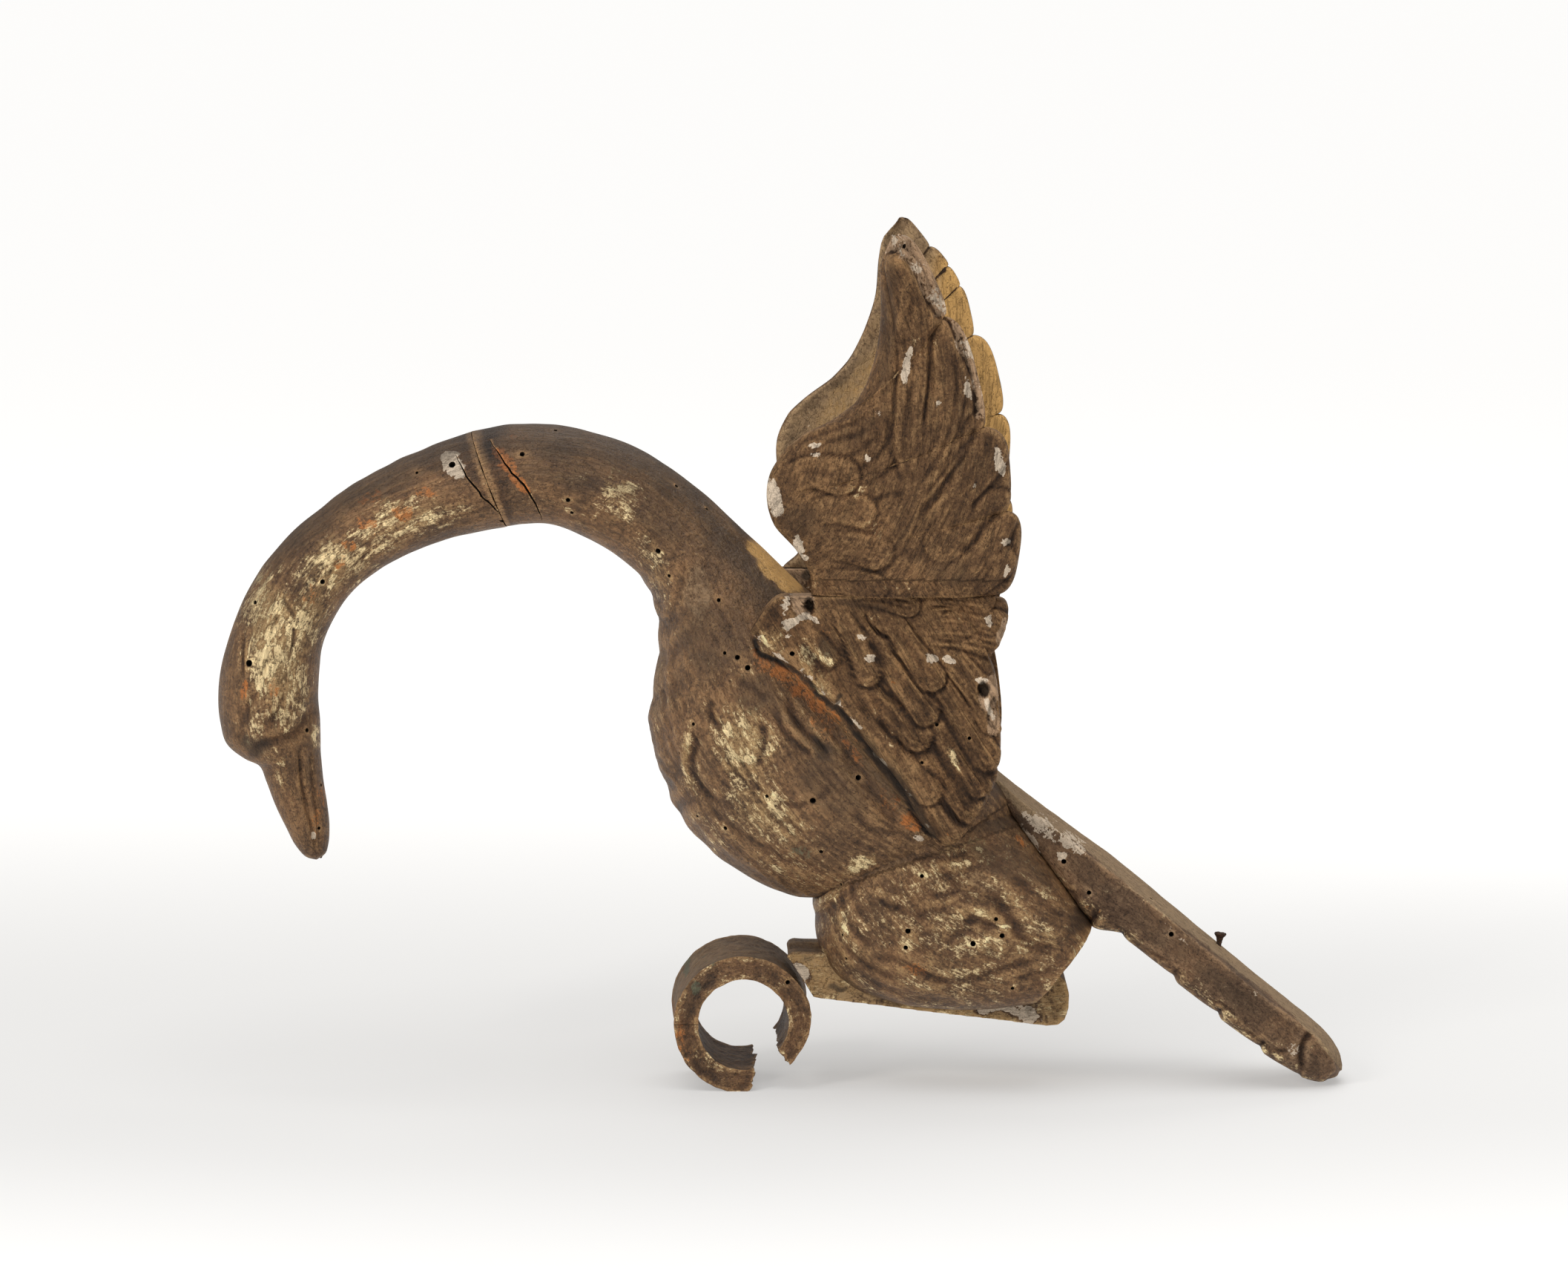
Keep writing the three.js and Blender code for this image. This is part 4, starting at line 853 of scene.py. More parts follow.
def blade_relief(side):
    """The feathers of a wing blade, cut in its outer face, and long hollows on its inner face."""

    def rule(points, normals):
        spots = seen(points)
        height = np.zeros(len(points))
        for width, lift, places in BLADE_FEATHERS:
            feather(height, spots, places, width, lift)
        height += grooved(spots, BLADE_GROOVES)
        away, run, _ = beside(spots, line_through(BLADE_RIM))
        height -= 2.6 * soft(away, -0.6, 1.6) * soft(1 - run, 0, 0.08) * soft(run, 0, 0.02) * (run > 0)
        height += 0.16 * grain(points, 6, 7)
        outer = soft(side * normals[:, 1], 0.1, 0.6)
        inner = soft(-side * normals[:, 1], 0.1, 0.6)
        return outer * height + inner * (0.5 * grain(points, 26, 11) + 0.25 * grain(points, 8, 12))

    return rule


def root_relief(side):
    """The lapped feathers of a wing root, its broken shoulder and the hole in its hind edge."""

    def rule(points, normals):
        spots = seen(points)
        height = np.zeros(len(points))
        for width, lift, places in ROOT_FEATHERS:
            feather(height, spots, places, width, lift, barbs=0.26)
        height += grooved(spots, ROOT_GROOVES) + joint_cut(spots)
        ragged = 0.3 * grain(points, 5, 13) + 0.1 * grain(points, 2.2, 14)
        for x, z, reach_x, reach_z, depth in ROOT_LOSSES:
            far_out = np.hypot((spots[:, 0] - x) / reach_x, (spots[:, 1] - z) / reach_z) + ragged
            height -= depth * soft(1 - far_out, 0, 0.25)
        height += 0.2 * grain(points, 6, 7)
        return soft(side * normals[:, 1], 0.1, 0.6) * height

    return rule


def tail_relief(points, normals):
    """The scalloped lower edge of the tail board, its grain and the lobe at its tip."""
    spots = seen(points)
    along = spots @ TAIL_RUN + 1.2 * grain(points, 24, 15)
    away = beside(spots, line_through(TAIL_EDGE))[0]
    side = soft(np.abs(normals[:, 1]), 0.1, 0.4)
    under = soft(-away + 1.5 * grain(points, 9, 19), 12, 18)
    after = np.searchsorted(TAIL_NOTCHES, along).clip(1, len(TAIL_NOTCHES) - 1)
    left, right = TAIL_NOTCHES[after - 1], TAIL_NOTCHES[after]
    share = np.clip((along - left) / (right - left), 0, 1)
    scallop = np.minimum(share * 7, 1) ** 0.5 * (1 - share) ** 0.35
    height = flats(points) * 0.5 + under * 2.2 * (scallop - 0.8) * soft(along, 45, 60)
    height += side * grooved(spots, TAIL_GROOVES)
    height += 0.5 * under * side * grain(points, 3.5, 20)
    height += 0.2 * grain(np.column_stack([along / 5, points[:, 1], away]), 1.6, 16) * soft(away, -1, 1)
    return height


def plain_relief(points, normals):
    return 0.6 * flats(points)


def battered_relief(points, normals):
    return 0.6 * flats(points) + 0.3 * grain(points, 3.5, 21) + 0.15 * grain(points, 1.6, 22)


def grounded(mesh):
    """The mesh with nothing below the floor."""
    points = corners(mesh)
    points[:, 2] = np.maximum(points[:, 2], 0)
    place_corners(mesh, points)
    return mesh


def surface_of(mesh):
    faces = [list(face.vertices) for face in mesh.polygons]
    return BVHTree.FromPolygons([vertex.co for vertex in mesh.vertices], faces)


def beam_hits(surface, x, z):
    """Where the main view's beam through a place on the middle plane meets a surface."""
    direction = Vector((x, 0, z)) - Vector(EYE)
    return surface.ray_cast(Vector(EYE), direction.normalized())[:2]


def hole_cutter(mesh, node):
    """Beetle holes: the ones the view sees, and more on the far side and the back."""
    surface = surface_of(mesh)
    places = [(*beam_hits(surface, x, z), radius) for x, z, radius in HOLES.get(node, ())]
    points, normals = corners(mesh), outwards(mesh)
    hidden = np.flatnonzero((normals[:, 1] > 0.2) & (np.abs(points[:, 1]) > 8))
    rng = np.random.default_rng(len(mesh.vertices) % 7 + len(node))
    for pick in rng.choice(hidden, FAR_HOLES.get(node, 0)):
        places.append((Vector(points[pick]), Vector(normals[pick]), rng.uniform(*FAR_HOLE_RADII)))
    bm = bmesh.new()
    taken = []
    for spot, normal, radius in places:
        if not spot or any((spot - other).length < HOLE_SPACING for other in taken):
            continue
        taken.append(spot)
        turn = normal.to_track_quat("Z", "Y").to_matrix().to_4x4()
        turn = Matrix.Translation(spot - normal * (HOLE_DEPTH / 2 - 1)) @ turn
        bmesh.ops.create_cone(
            bm, cap_ends=True, segments=HOLE_SIDES, radius1=radius * 0.8, radius2=radius,
            depth=HOLE_DEPTH + 2, matrix=turn,
        )
    return mesh_from(bm, "holes") if taken else None


def crack_cutter(mesh, crack):
    """A thin wedge driven into the near side along a crack."""
    depth, width, places = crack
    line = line_through(places, 5)
    line = line + 0.5 * np.column_stack([grain(np.c_[line, line[:, 0]], 3, seed) for seed in (21, 22)])
    surface = surface_of(mesh)
    found = [beam_hits(surface, x, z) for x, z in line]
    spots, normals = (np.array(part) for part in zip(*(hit for hit in found if hit[0])))
    across = np.cross(normals, np.gradient(spots, axis=0))
    across /= np.linalg.norm(across, axis=1, keepdims=True)
    last = len(spots) - 1

    def place(x, y, z):
        pick = np.rint(x * last).astype(int)
        taper = np.sin(np.clip(pick / last, 0.03, 0.97) * pi) ** 0.5
        half = width * taper * np.where(z > 0.5, 1, 0.15)
        up = np.where(z > 0.5, 0.8, -3 * depth * taper)
        return spots[pick] + across[pick] * ((2 * y - 1) * half)[:, None] + normals[pick] * up[:, None]

    return block("crack", (last, 1, 1), place)


def blurred(mesh, values, times):
    """Values of the corners averaged with their neighbours' that many times."""
    edges = np.empty(len(mesh.edges) * 2, np.int32)
    mesh.edges.foreach_get("vertices", edges)
    start, end = edges.reshape(-1, 2).T
    count = np.bincount(edges, minlength=len(values)) + 1
    values = values.reshape(len(values), -1).astype(float)
    for _ in range(times):
        columns = []
        for column in values.T:
            size = len(column)
            gained = np.bincount(start, column[end], size) + np.bincount(end, column[start], size)
            columns.append((column + gained) / count)
        values = np.array(columns).T
    return values


def proudness(mesh):
    """How far each corner stands above the surface round it, in millimetres."""
    points, normals = corners(mesh), outwards(mesh)
    little, much = PROUD_BLURS
    near = ((points - blurred(mesh, points, little)) * normals).sum(axis=1)
    return near - blurred(mesh, near, much)[:, 0]


def patches(node, kind, points, spots):
    """How much of the finish is of that kind, from the patches that the view shows."""
    total = np.zeros(len(points))
    ragged = 0.3 * grain(points, 6, 17) + 0.2 * grain(points, 2.4, 18)
    if kind == "gesso":
        ragged = ragged + 0.35 * grain(points, 1.5, 19)
    torn = [grain(points, 3.2, seed) + 1.2 * grain(points, 8, seed) for seed in (61, 62)]
    spots = spots + np.column_stack(torn) * (0.6 if kind == "gesso" else 1)
    inner, outer = (0.3, 1.75) if kind == "gold" else (0.65, 1.35)
    for x, z, half_x, half_z, turn, amount in PATCHES.get(node, {}).get(kind, ()):
        angle = radians(turn)
        gap = spots - (x, z)
        along = gap[:, 0] * cos(angle) + gap[:, 1] * sin(angle)
        up = gap[:, 1] * cos(angle) - gap[:, 0] * sin(angle)
        reach = np.hypot(along / (half_x + 0.4), up / (half_z + 0.4))
        reach = reach + ragged * min(1, half_z / 2, 3.5 / half_z)
        total = np.maximum(total, amount * soft(outer - reach, 0, outer - inner))
    return total


def note(mesh, name, values):
    """Stores one number, a place or a colour at every corner."""
    kinds = {1: ("FLOAT", "value"), 3: ("FLOAT_VECTOR", "vector"), 4: ("FLOAT_COLOR", "color")}
    kind, field = kinds[values.size // len(values)]
    layer = mesh.attributes.new(name, kind, "POINT")
    layer.data.foreach_set(field, np.ascontiguousarray(values, np.float32).ravel())


def wing_course(spots):
    """The run of the wing feathers, which sweep up round the front of the blade."""
    gap = spots - FAN_MIDDLE
    sweep, fan = FAN_REACH * np.arctan2(gap[:, 1], gap[:, 0]), np.hypot(gap[:, 0], gap[:, 1])
    quills = np.column_stack([spots @ QUILL_RUN, spots @ QUILL_ACROSS])
    return np.where(spots[:, 1:] < WING_SEAM, quills, np.column_stack([sweep, fan]))


def ring_course(points):
    """The run round the ring of the scroll."""
    gap = points[:, [0, 2]] - RING_MIDDLE
    return np.column_stack([np.arctan2(gap[:, 1], gap[:, 0]) * RING_OUTER, np.hypot(gap[:, 0], gap[:, 1])])


def deepen(found, **shares):
    """Raises the notes to at least those shares."""
    for name, share in shares.items():
        found[name] = np.maximum(found[name], share)


def seam_wear(found, spots, points, drift):
    """Bole, soot and chipped gesso along the open joint of the wing root, with painted shade in the joint
    and beside it.
    """
    gap = beside(spots, line_through(ROOT_GAP))[0] + 0.4 * grain(points, 2.5, 40)
    away = gap + 1.2 * grain(points, 6, 34)
    ends = soft(spots[:, 0], -14, -8) * soft(68 - spots[:, 0], 0, 8)
    high, low = soft(spots[:, 1], 120, 158), soft(150 - spots[:, 1], 0, 16)
    seam = soft(1 - away, 0, 1.5) * soft(8 + away, 0, 3) * ends
    # The near-black line in the joint is dirt together with painted shade, and the dark strip beside its
    # lower part is a painted shadow of the root's edge together with dirt.
    crack = soft(1.2 - np.abs(gap), 0, 0.7) * ends
    edge_shadow = soft(away + 1, 0, 1.5) * soft(5 - away, 0, 2.5) * low * ends
    dirty = seam * (0.75 - 0.45 * high) * (1 - 0.6 * soft(118 - spots[:, 1], 0, 8))
    chipped = soft(0.9 - np.abs(gap - 1.9), 0, 0.5) * soft(grain(points, 4, 41), -0.1, 0.3) * ends
    soot = np.maximum.reduce([1.5 * crack, 0.95 * edge_shadow, dirty])
    deepen(found, bole=(0.1 + 0.55 * high + 0.3 * drift) * seam, soot=soot, gesso=0.9 * chipped)


def blade_wear(found, spots, points, inner, proud):
    """Ochre on a blade's inner face, and the bare broken rim of the near blade."""
    hind = soft(spots[:, 0] - 0.25 * (spots[:, 1] - 260) + 6 * grain(points, 14, 32), 42, 66)
    low = soft(250 - spots[:, 1] + 0.9 * spots[:, 0] + 6 * grain(points, 9, 39), 0, 12)
    low = low * soft(spots[:, 0], 14, 24)
    deepen(found, ochre=inner * (0.5 + 0.55 * np.maximum(hind, low)), dust=0.8 * inner * (1 - hind))
    away, along, _ = beside(spots, line_through(BLADE_RIM))
    rim = soft(away + 1.5 * grain(points, 5, 33), -0.5, 1.5) * soft(1 - along, 0, 0.05) * (along > 0)
    rim *= soft(-points[:, 1], 20, 40) * (1 - inner)
    deepen(found, dust=0.4 * rim, bare=0.8 * rim, gesso=rim * (0.45 + 0.6 * grain(points, 5, 37)))
    for name in ("gold", "soot", "bole"):
        found[name] *= 1 - inner
    found["gesso"] *= 1 - soft(points[:, 1], 0, 12) * (1 - inner) * 0.5
    # On the inner face the hollows get little of the painted shade that proudness gives.
    return np.where(inner > 0.3, np.maximum(proud, -0.12), proud)


def wear(mesh, node):
    """Notes at every corner what the surface is made of there and how it lies."""
    points, normals = corners(mesh), outwards(mesh)
    spots = seen(points)
    kind = node.replace("_left", "").replace("_right", "")
    proud = np.clip(proudness(mesh), *PROUD_RANGE)
    found = {name: patches(kind, name, points, spots) for name in (*COATS, *STAINS)}
    upward = soft(normals[:, 2], 0.25, 0.85)
    facing = np.abs(normals[:, 1])
    found["gesso"] *= 1 - 0.6 * soft(points[:, 1], 0, 12)
    deepen(found, dust=(0.08 if kind in ("head_neck", "body") else 0.25) * upward)
    drift = 0.5 + 0.5 * grain(points, 30, 31)
    run = course(spots, node) if node in (*COURSES, "body") else points[:, [0, 2]]
    if kind in ("head_neck", "body"):
        hind = over_rump(spots) if kind == "body" else 0
        back = soft(normals[:, 2] + 0.15 * grain(points, 12, 38), -0.05, 0.7)
        deepen(found, gold=(0.06 + 0.3 * drift + 0.25 * hind) * (1 - upward), soot=0.8 * back * (1 - hind))
        found["soot"] *= 1 - 0.85 * found["ochre"]
    elif kind == "wing_blade":
        inner = soft(normals[:, 1] * (-1 if node.endswith("right") else 1), 0.2, 0.5)
        proud = blade_wear(found, spots, points, inner, proud)
    elif kind == "scroll_curl":
        run = ring_course(points)
        barrel = 1 - soft(facing, 0.4, 0.8)
        outside = soft(((points[:, [0, 2]] - RING_MIDDLE) * normals[:, [0, 2]]).sum(axis=1), 0, 9)
        deepen(found, soot=barrel * (0.3 + 0.2 * outside), dust=barrel * (0.15 + 0.4 * outside), gold=0.42)
        found["gold"] *= 1 - barrel
    elif kind == "scroll_rail":
        faces = 1 - upward
        deepen(found, gold=(0.38 + 0.2 * drift) * faces, ochre=(0.55 + 0.3 * drift) * faces, dust=0.6)
        for name in ("gold", "dust", "ochre"):
            found[name] *= 1 - found["gesso"]
    elif kind == "tail":
        away = beside(spots, line_through(TAIL_EDGE))[0] + 0.8 * grain(points, 5, 35)
        top, band = soft(away, -0.8, 0.8), soft(-away + 2 * grain(points, 7, 36), 12, 16)
        deepen(found, dust=0.95 * top, gold=0.22 + 0.3 * band, bole=0.4 * band * drift)
        deepen(found, soot=0.28 * (1 - top) * (1 - band))
    if kind in ("wing_blade", "wing_root"):
        run = wing_course(spots)
    if kind in ("body", "wing_root"):
        seam_wear(found, spots, points, drift)
    for name, kinds in (("coat", COATS), ("stain", STAINS)):
        note(mesh, name, np.column_stack([found[kind] for kind in kinds]))
    # Proudness, from which the finishes paint shade into hollows and a highlight onto ridges.
    note(mesh, "proud", proud)
    note(mesh, "run", np.column_stack([run, points[:, 1]]) * MILLIMETRE)


class Share:
    """A number over a surface, which plus, minus and times join to others."""

    def __init__(self, tree, socket):
        self.tree, self.socket = tree, socket

    def joined(self, operation, other):
        node = self.tree.nodes.new("ShaderNodeMath")
        node.operation = operation
        self.tree.links.new(self.socket, node.inputs[0])
        plug(self.tree, node.inputs[1], other)
        return Share(self.tree, node.outputs[0])

    def __add__(self, other):
        return self.joined("ADD", other)

    def __sub__(self, other):
        return self.joined("SUBTRACT", other)

    def __mul__(self, other):
        return self.joined("MULTIPLY", other)

    def __rsub__(self, other):
        return self * -1 + other

    __radd__, __rmul__ = __add__, __mul__

    def between(self, low, high, bottom=0.0, top=1.0):
        """Bottom below low, top above high, smooth between them."""
        node = self.tree.nodes.new("ShaderNodeMapRange")
        node.interpolation_type = "SMOOTHSTEP"
        plug(self.tree, node.inputs["Value"], self)
        for name, value in zip(("From Min", "From Max", "To Min", "To Max"), (low, high, bottom, top)):
            node.inputs[name].default_value = value
        return Share(self.tree, node.outputs[0])


def plug(tree, socket, value):
    if isinstance(value, Share):
        tree.links.new(value.socket, socket)
    else:
        socket.default_value = value


class Finish:
    """A material that is put together from textures over the surface."""

    def __init__(self, name):
        self.material = bpy.data.materials.new(name)
        self.material.use_nodes = True
        self.tree = self.material.node_tree
        self.shader = self.tree.nodes["Principled BSDF"]
        self.place = self.tree.nodes.new("ShaderNodeTexCoord").outputs["Object"]

    def noted(self, name, output):
        node = self.tree.nodes.new("ShaderNodeAttribute")
        node.attribute_name = name
        return node.outputs[output]

    def shares(self, name):
        """The four numbers that a colour note holds."""
        split = self.tree.nodes.new("ShaderNodeSeparateColor")
        self.tree.links.new(self.noted(name, "Color"), split.inputs[0])
        return [Share(self.tree, socket) for socket in (*split.outputs[0:3], self.noted(name, "Alpha"))]

    def stretched(self, vector, scale):
        node = self.tree.nodes.new("ShaderNodeMapping")
        self.tree.links.new(vector, node.inputs["Vector"])
        node.inputs["Scale"].default_value = scale
        return node.outputs[0]

    def noise(self, vector, scale, detail=2.0, bend=0.0):
        """Clouds whose lumps are about one part in that many of a metre, from 0 to 1."""
        node = self.tree.nodes.new("ShaderNodeTexNoise")
        self.tree.links.new(vector, node.inputs["Vector"])
        for name, value in (("Scale", scale), ("Detail", detail), ("Roughness", 0.6), ("Distortion", bend)):
            node.inputs[name].default_value = value
        return Share(self.tree, node.outputs[0]).between(0.27, 0.73)

    def wavy(self, vector, scale, amount):
        """Places pushed about by clouds."""
        noise = self.tree.nodes.new("ShaderNodeTexNoise")
        noise.inputs["Scale"].default_value = scale
        node = self.tree.nodes.new("ShaderNodeVectorMath")
        node.operation = "MULTIPLY_ADD"
        for end in (noise.inputs["Vector"], node.inputs[2]):
            self.tree.links.new(vector, end)
        self.tree.links.new(noise.outputs["Color"], node.inputs[0])
        node.inputs[1].default_value = (amount, amount, amount)
        return node.outputs[0]

    def cells(self, vector, feature, output):
        """One number of the cells that a surface crackles into."""
        node = self.tree.nodes.new("ShaderNodeTexVoronoi")
        node.feature = feature
        self.tree.links.new(vector, node.inputs["Vector"])
        node.inputs["Scale"].default_value = 1
        return Share(self.tree, node.outputs[output])

    def over(self, below, above, share):
        """One colour laid over another where share is 1."""
        node = self.tree.nodes.new("ShaderNodeMix")
        node.data_type = "RGBA"
        plug(self.tree, node.inputs["Factor"], share)
        for socket, colour in zip(node.inputs[6:8], (below, above)):
            plug(self.tree, socket, colour if isinstance(colour, Share) else (*colour, 1))
        return Share(self.tree, node.outputs[2])

    def shaded(self, colour, share):
        """A colour made that much lighter or darker."""
        node = self.tree.nodes.new("ShaderNodeVectorMath")
        node.operation = "SCALE"
        plug(self.tree, node.inputs[0], colour)
        plug(self.tree, node.inputs["Scale"], share)
        return Share(self.tree, node.outputs[0])

    def set(self, **values):
        for name, value in values.items():
            plug(self.tree, self.shader.inputs[name.replace("_", " ")], value)

    def bump(self, height, distance, strength=1.0):
        node = self.tree.nodes.new("ShaderNodeBump")
        node.inputs["Distance"].default_value = distance
        node.inputs["Strength"].default_value = strength
        plug(self.tree, node.inputs["Height"], height)
        self.tree.links.new(node.outputs[0], self.shader.inputs["Normal"])


def aged_finish(name, paint, tones, gilding, streaks, engraved, gloss):
    """Gilding on bole and gesso over wood, tarnished, worn and dusty, with painted shade and highlight."""
    finish = Finish(name)
    place, run = finish.place, finish.noted("run", "Vector")
    gold, bole, gesso, ochre = finish.shares("coat")
    soot, bare, green, dust = finish.shares("stain")
    proud = Share(finish.tree, finish.noted("proud", "Fac"))
    clouds = finish.noise(place, 38, 3, 0.6)
    mottle = finish.noise(place, 190, 4, 0.8)
    grit = finish.noise(place, 780, 3, 0.5)
    specks = finish.noise(place, 1700, 2)
    strand = finish.noise(finish.stretched(run, (130, 650, 650)), 1, 3, 1.2)
    hair = finish.noise(finish.stretched(run, (380, 2000, 2000)), 1, 3, 0.8)
    crackle = finish.wavy(finish.stretched(run, (150, 330, 330)), 2.2, 0.9)
    veins = finish.cells(crackle, "DISTANCE_TO_EDGE", "Distance").between(0.0, 0.05, 1.0, 0.0)
    flake = finish.cells(crackle, "F1", "Color").between(0.3, 0.7)
    cuts = finish.noise(finish.stretched(run, (45, 620, 620)), 1, 2, 0.6).between(0.1, 0.5)
    dark, brown, light = tones
    tone = clouds * 0.25 + mottle * 0.25 + grit * 0.25 + specks * 0.1
    # The tone is darker in hollows and lighter on proud ridges: dirt in the hollows, together with painted
    # shade and a painted highlight.
    tone = tone + strand * (0.25 * streaks) + proud * 0.45
    colour = finish.over(dark, brown, tone.between(0.1, 0.5))
    colour = finish.over(colour, light, tone.between(0.42, 0.8))
    ruddy = clouds * 0.5 + mottle * 0.3 + grit * 0.3 + gold * 0.25
    colour = finish.over(colour, paint["ruddy"], ruddy.between(0.5, 0.85, 0, 0.15 + 0.25 * streaks))
    painted = (ochre + mottle * 0.3 + grit * 0.2 + clouds * 0.2 - 0.75).between(0, 0.4)
    colour = finish.over(colour, paint["ochre"], painted)
    dusty = (dust + mottle * 0.35 + grit * 0.25 + strand * (0.15 * streaks) - 0.55).between(0, 0.8, 0, 0.8)
    colour = finish.over(colour, paint["dust"], dusty)
    leaf = gold * gilding + proud * 0.5
    old = (leaf + mottle * 0.35 + strand * 0.2 + grit * 0.3 + specks * 0.15 - 0.9).between(0, 0.7)
    colour = finish.over(colour, paint["old_gold"], old * (0.6 + 0.4 * clouds))
    bright = leaf * 0.85 + flake * 0.35 + strand * 0.3 + mottle * 0.25 + hair * 0.3 + grit * 0.3
    bright = (bright + specks * 0.15 - 1.42).between(0, 0.32)
    colour = finish.over(colour, paint["gold"], bright * (0.45 + 0.55 * mottle))
    red = (bole + strand * 0.45 + grit * 0.5 + mottle * 0.45 - 1.25).between(0, 0.4)
    colour = finish.over(colour, paint["bole"], red * (0.4 + 0.6 * mottle))
    rot = (bare + mottle * 0.4 + grit * 0.4 - 0.85).between(0, 0.3)
    colour = finish.over(colour, paint["bare"], rot)
    white = (gesso + mottle * 0.45 + grit * 0.5 - 1.02).between(0, 0.12)
    colour = finish.over(colour, paint["gesso"], white * (0.75 + 0.25 * specks))
    copper = (green + grit * 0.5 + mottle * 0.3 - 0.95).between(0, 0.4, 0, 0.7)
    colour = finish.over(colour, paint["green"], copper)
    black = (soot + mottle * 0.25 + grit * 0.2 - 0.35).between(0, 0.95, 0, 0.78)
    colour = finish.over(colour, paint["soot"], black)
    pits = (specks * 0.8 + grit * 0.35).between(0.04, 0.36, 0.6, 0) * (1 - 0.6 * white)
    colour = finish.over(colour, paint["soot"], pits)
    colour = finish.over(colour, dark, veins * (0.15 + 0.35 * mottle + 0.3 * bright))
    # Painted shade and highlight: the colour is darkened in the engraved cuts and in hollows, and lightened
    # past its own tone on proud ridges.
    cut_shade = cuts.between(0, 1, 0.3 * engraved, 0) * (1 - 0.8 * dust)
    colour = finish.shaded(colour, proud.between(-0.75, 0.35, 0.5, 1.2) * (1 - cut_shade))
    finish.set(
        Base_Color=colour,
        Metallic=bright * 0.6 + old * 0.25,
        Roughness=0.56 - 0.5 * gloss - 0.1 * bright + 0.3 * dust + 0.16 * specks + 0.25 * white,
        Specular_IOR_Level=gloss,
    )
    relief = strand * 0.4 + flake * 0.2 + hair * 0.3 + mottle * 0.7 + grit * 0.35 + bright * 0.25
    relief = relief - veins * 0.35 - pits * 0.7 + cuts * (0.8 * engraved) * (1 - 0.7 * dust)
    finish.bump(relief, 0.0005, 0.85)
    return finish.material


def iron_finish(paint):
    """Hand-made iron, black with brown rust."""
    finish = Finish("rusty iron")
    scale = finish.noise(finish.place, 1800, 4, 1.0)
    grit = finish.noise(finish.place, 6000, 2)
    colour = finish.over(paint["iron"], paint["rust"], (scale + grit * 0.3).between(0.5, 0.95))
    finish.set(Base_Color=colour, Metallic=0.45, Roughness=0.95 - 0.35 * scale)
    finish.bump(scale + grit * 0.4, 0.00015)
    return finish.material


def raw_finish(name, dark, light):
    """Bare wood that the finish never reached, with its grain along the swan."""
    finish = Finish(name)
    grain_lines = finish.noise(finish.stretched(finish.place, (60, 900, 900)), 1, 3, 0.5)
    clouds = finish.noise(finish.place, 120, 3)
    colour = finish.over(dark, light, grain_lines * 0.7 + clouds * 0.3)
    finish.set(Base_Color=colour, Roughness=0.85, Specular_IOR_Level=0.25)
    finish.bump(grain_lines, 0.0003)
    return finish.material


def finishes(settings):
    """The swan's finishes by name, made once and shared by its pieces."""
    if "gilt wood" not in bpy.data.materials:
        names = [name for name in settings.__annotations__ if name != "gilding"]
        paint = {name: tuple(getattr(settings, name)) for name in names}
        tones = [paint[name] for name in ("dark", "brown", "light")]
        wing_tones = [shade(tone, 0.98) for tone in tones]
        dusty_tones = [greyed(tone, 1.15) for tone in tones]
        for name, woods, streaks, engraved, gloss in (
            ("gilt wood", tones, 0.8, 0.45, 0.36), ("wing wood", wing_tones, 0.5, 1, 0.22),
            ("ochre wood", dusty_tones, 0.6, 0.3, 0.2),
        ):
            aged_finish(name, paint, woods, settings.gilding, streaks, engraved, gloss)
        iron_finish(paint)
        # Near-black wood for the inside of holes, cracks and bores: the wood's own dark together with
        # painted shade.
        raw_finish("worm hole", (0.012, 0.008, 0.005), (0.03, 0.02, 0.012))
        raw_finish("raw wood", (0.03, 0.018, 0.01), (0.13, 0.075, 0.038))
    return bpy.data.materials


def shade(tone, amount):
    return tuple(channel * amount for channel in tone)


def greyed(tone, amount):
    """A tone with part of its colour taken out."""
    middle = sum(tone) / 3
    return tuple((0.78 * channel + 0.22 * middle) * amount for channel in tone)


def coated(mesh, material):
    mesh.materials.clear()
    mesh.materials.append(material)
    return mesh


def cut(mesh, cutter, finish):
    """The mesh cut by another one, which leaves its finish on the cut."""
    return merge(mesh, coated(cutter, bpy.data.materials[finish]))


def bored(mesh, node):
    """The mesh with its beetle holes."""
    cutter = hole_cutter(mesh, node)
    return cut(mesh, cutter, "worm hole") if cutter else mesh


def settled(mesh, node):
    """The mesh in metres as a piece of the swan that stands for its node."""
    place_corners(mesh, (corners(mesh) - ORIGIN) * MILLIMETRE)
    mesh.shade_smooth()
    mesh.set_sharp_from_angle(angle=SHARP_EDGE)
    piece = linked(f"swan_{node}", mesh)
    mesh.name = piece.name
    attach(piece, "root")
    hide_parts(node)


def worn(mesh, node):
    """The mesh with its wear, as a piece."""
    wear(mesh, node)
    settled(mesh, node)


def fitted(mesh):
    """The mesh cut back to the plain outer form of the body, with a thin joint."""
    breast = loft("breast", BREAST, 70, 90, grown=FITTING_GAP, near=1)
    rump = loft("rump", RUMP, 35, 90, (3, 8), grown=FITTING_GAP, near=1)
    return cut(mesh, merge(breast, rump, "UNION"), "raw wood")


def rail_blank(grown=0.0, lift=0.0):
    """The rail's outline, as wide as the rail and that much more."""
    bm = bmesh.new()
    half = RAIL_HALF_WIDTH + grown
    outline = [bm.verts.new((x, -half, z + lift)) for x, z in RAIL_OUTLINE]
    face = bm.faces.new(outline)
    made = bmesh.ops.extrude_face_region(bm, geom=[face])["geom"]
    moved = [item for item in made if isinstance(item, bmesh.types.BMVert)]
    bmesh.ops.translate(bm, verts=moved, vec=(0, 2 * half, 0))
    bmesh.ops.recalc_face_normals(bm, faces=bm.faces)
    return mesh_from(bm, "rail")


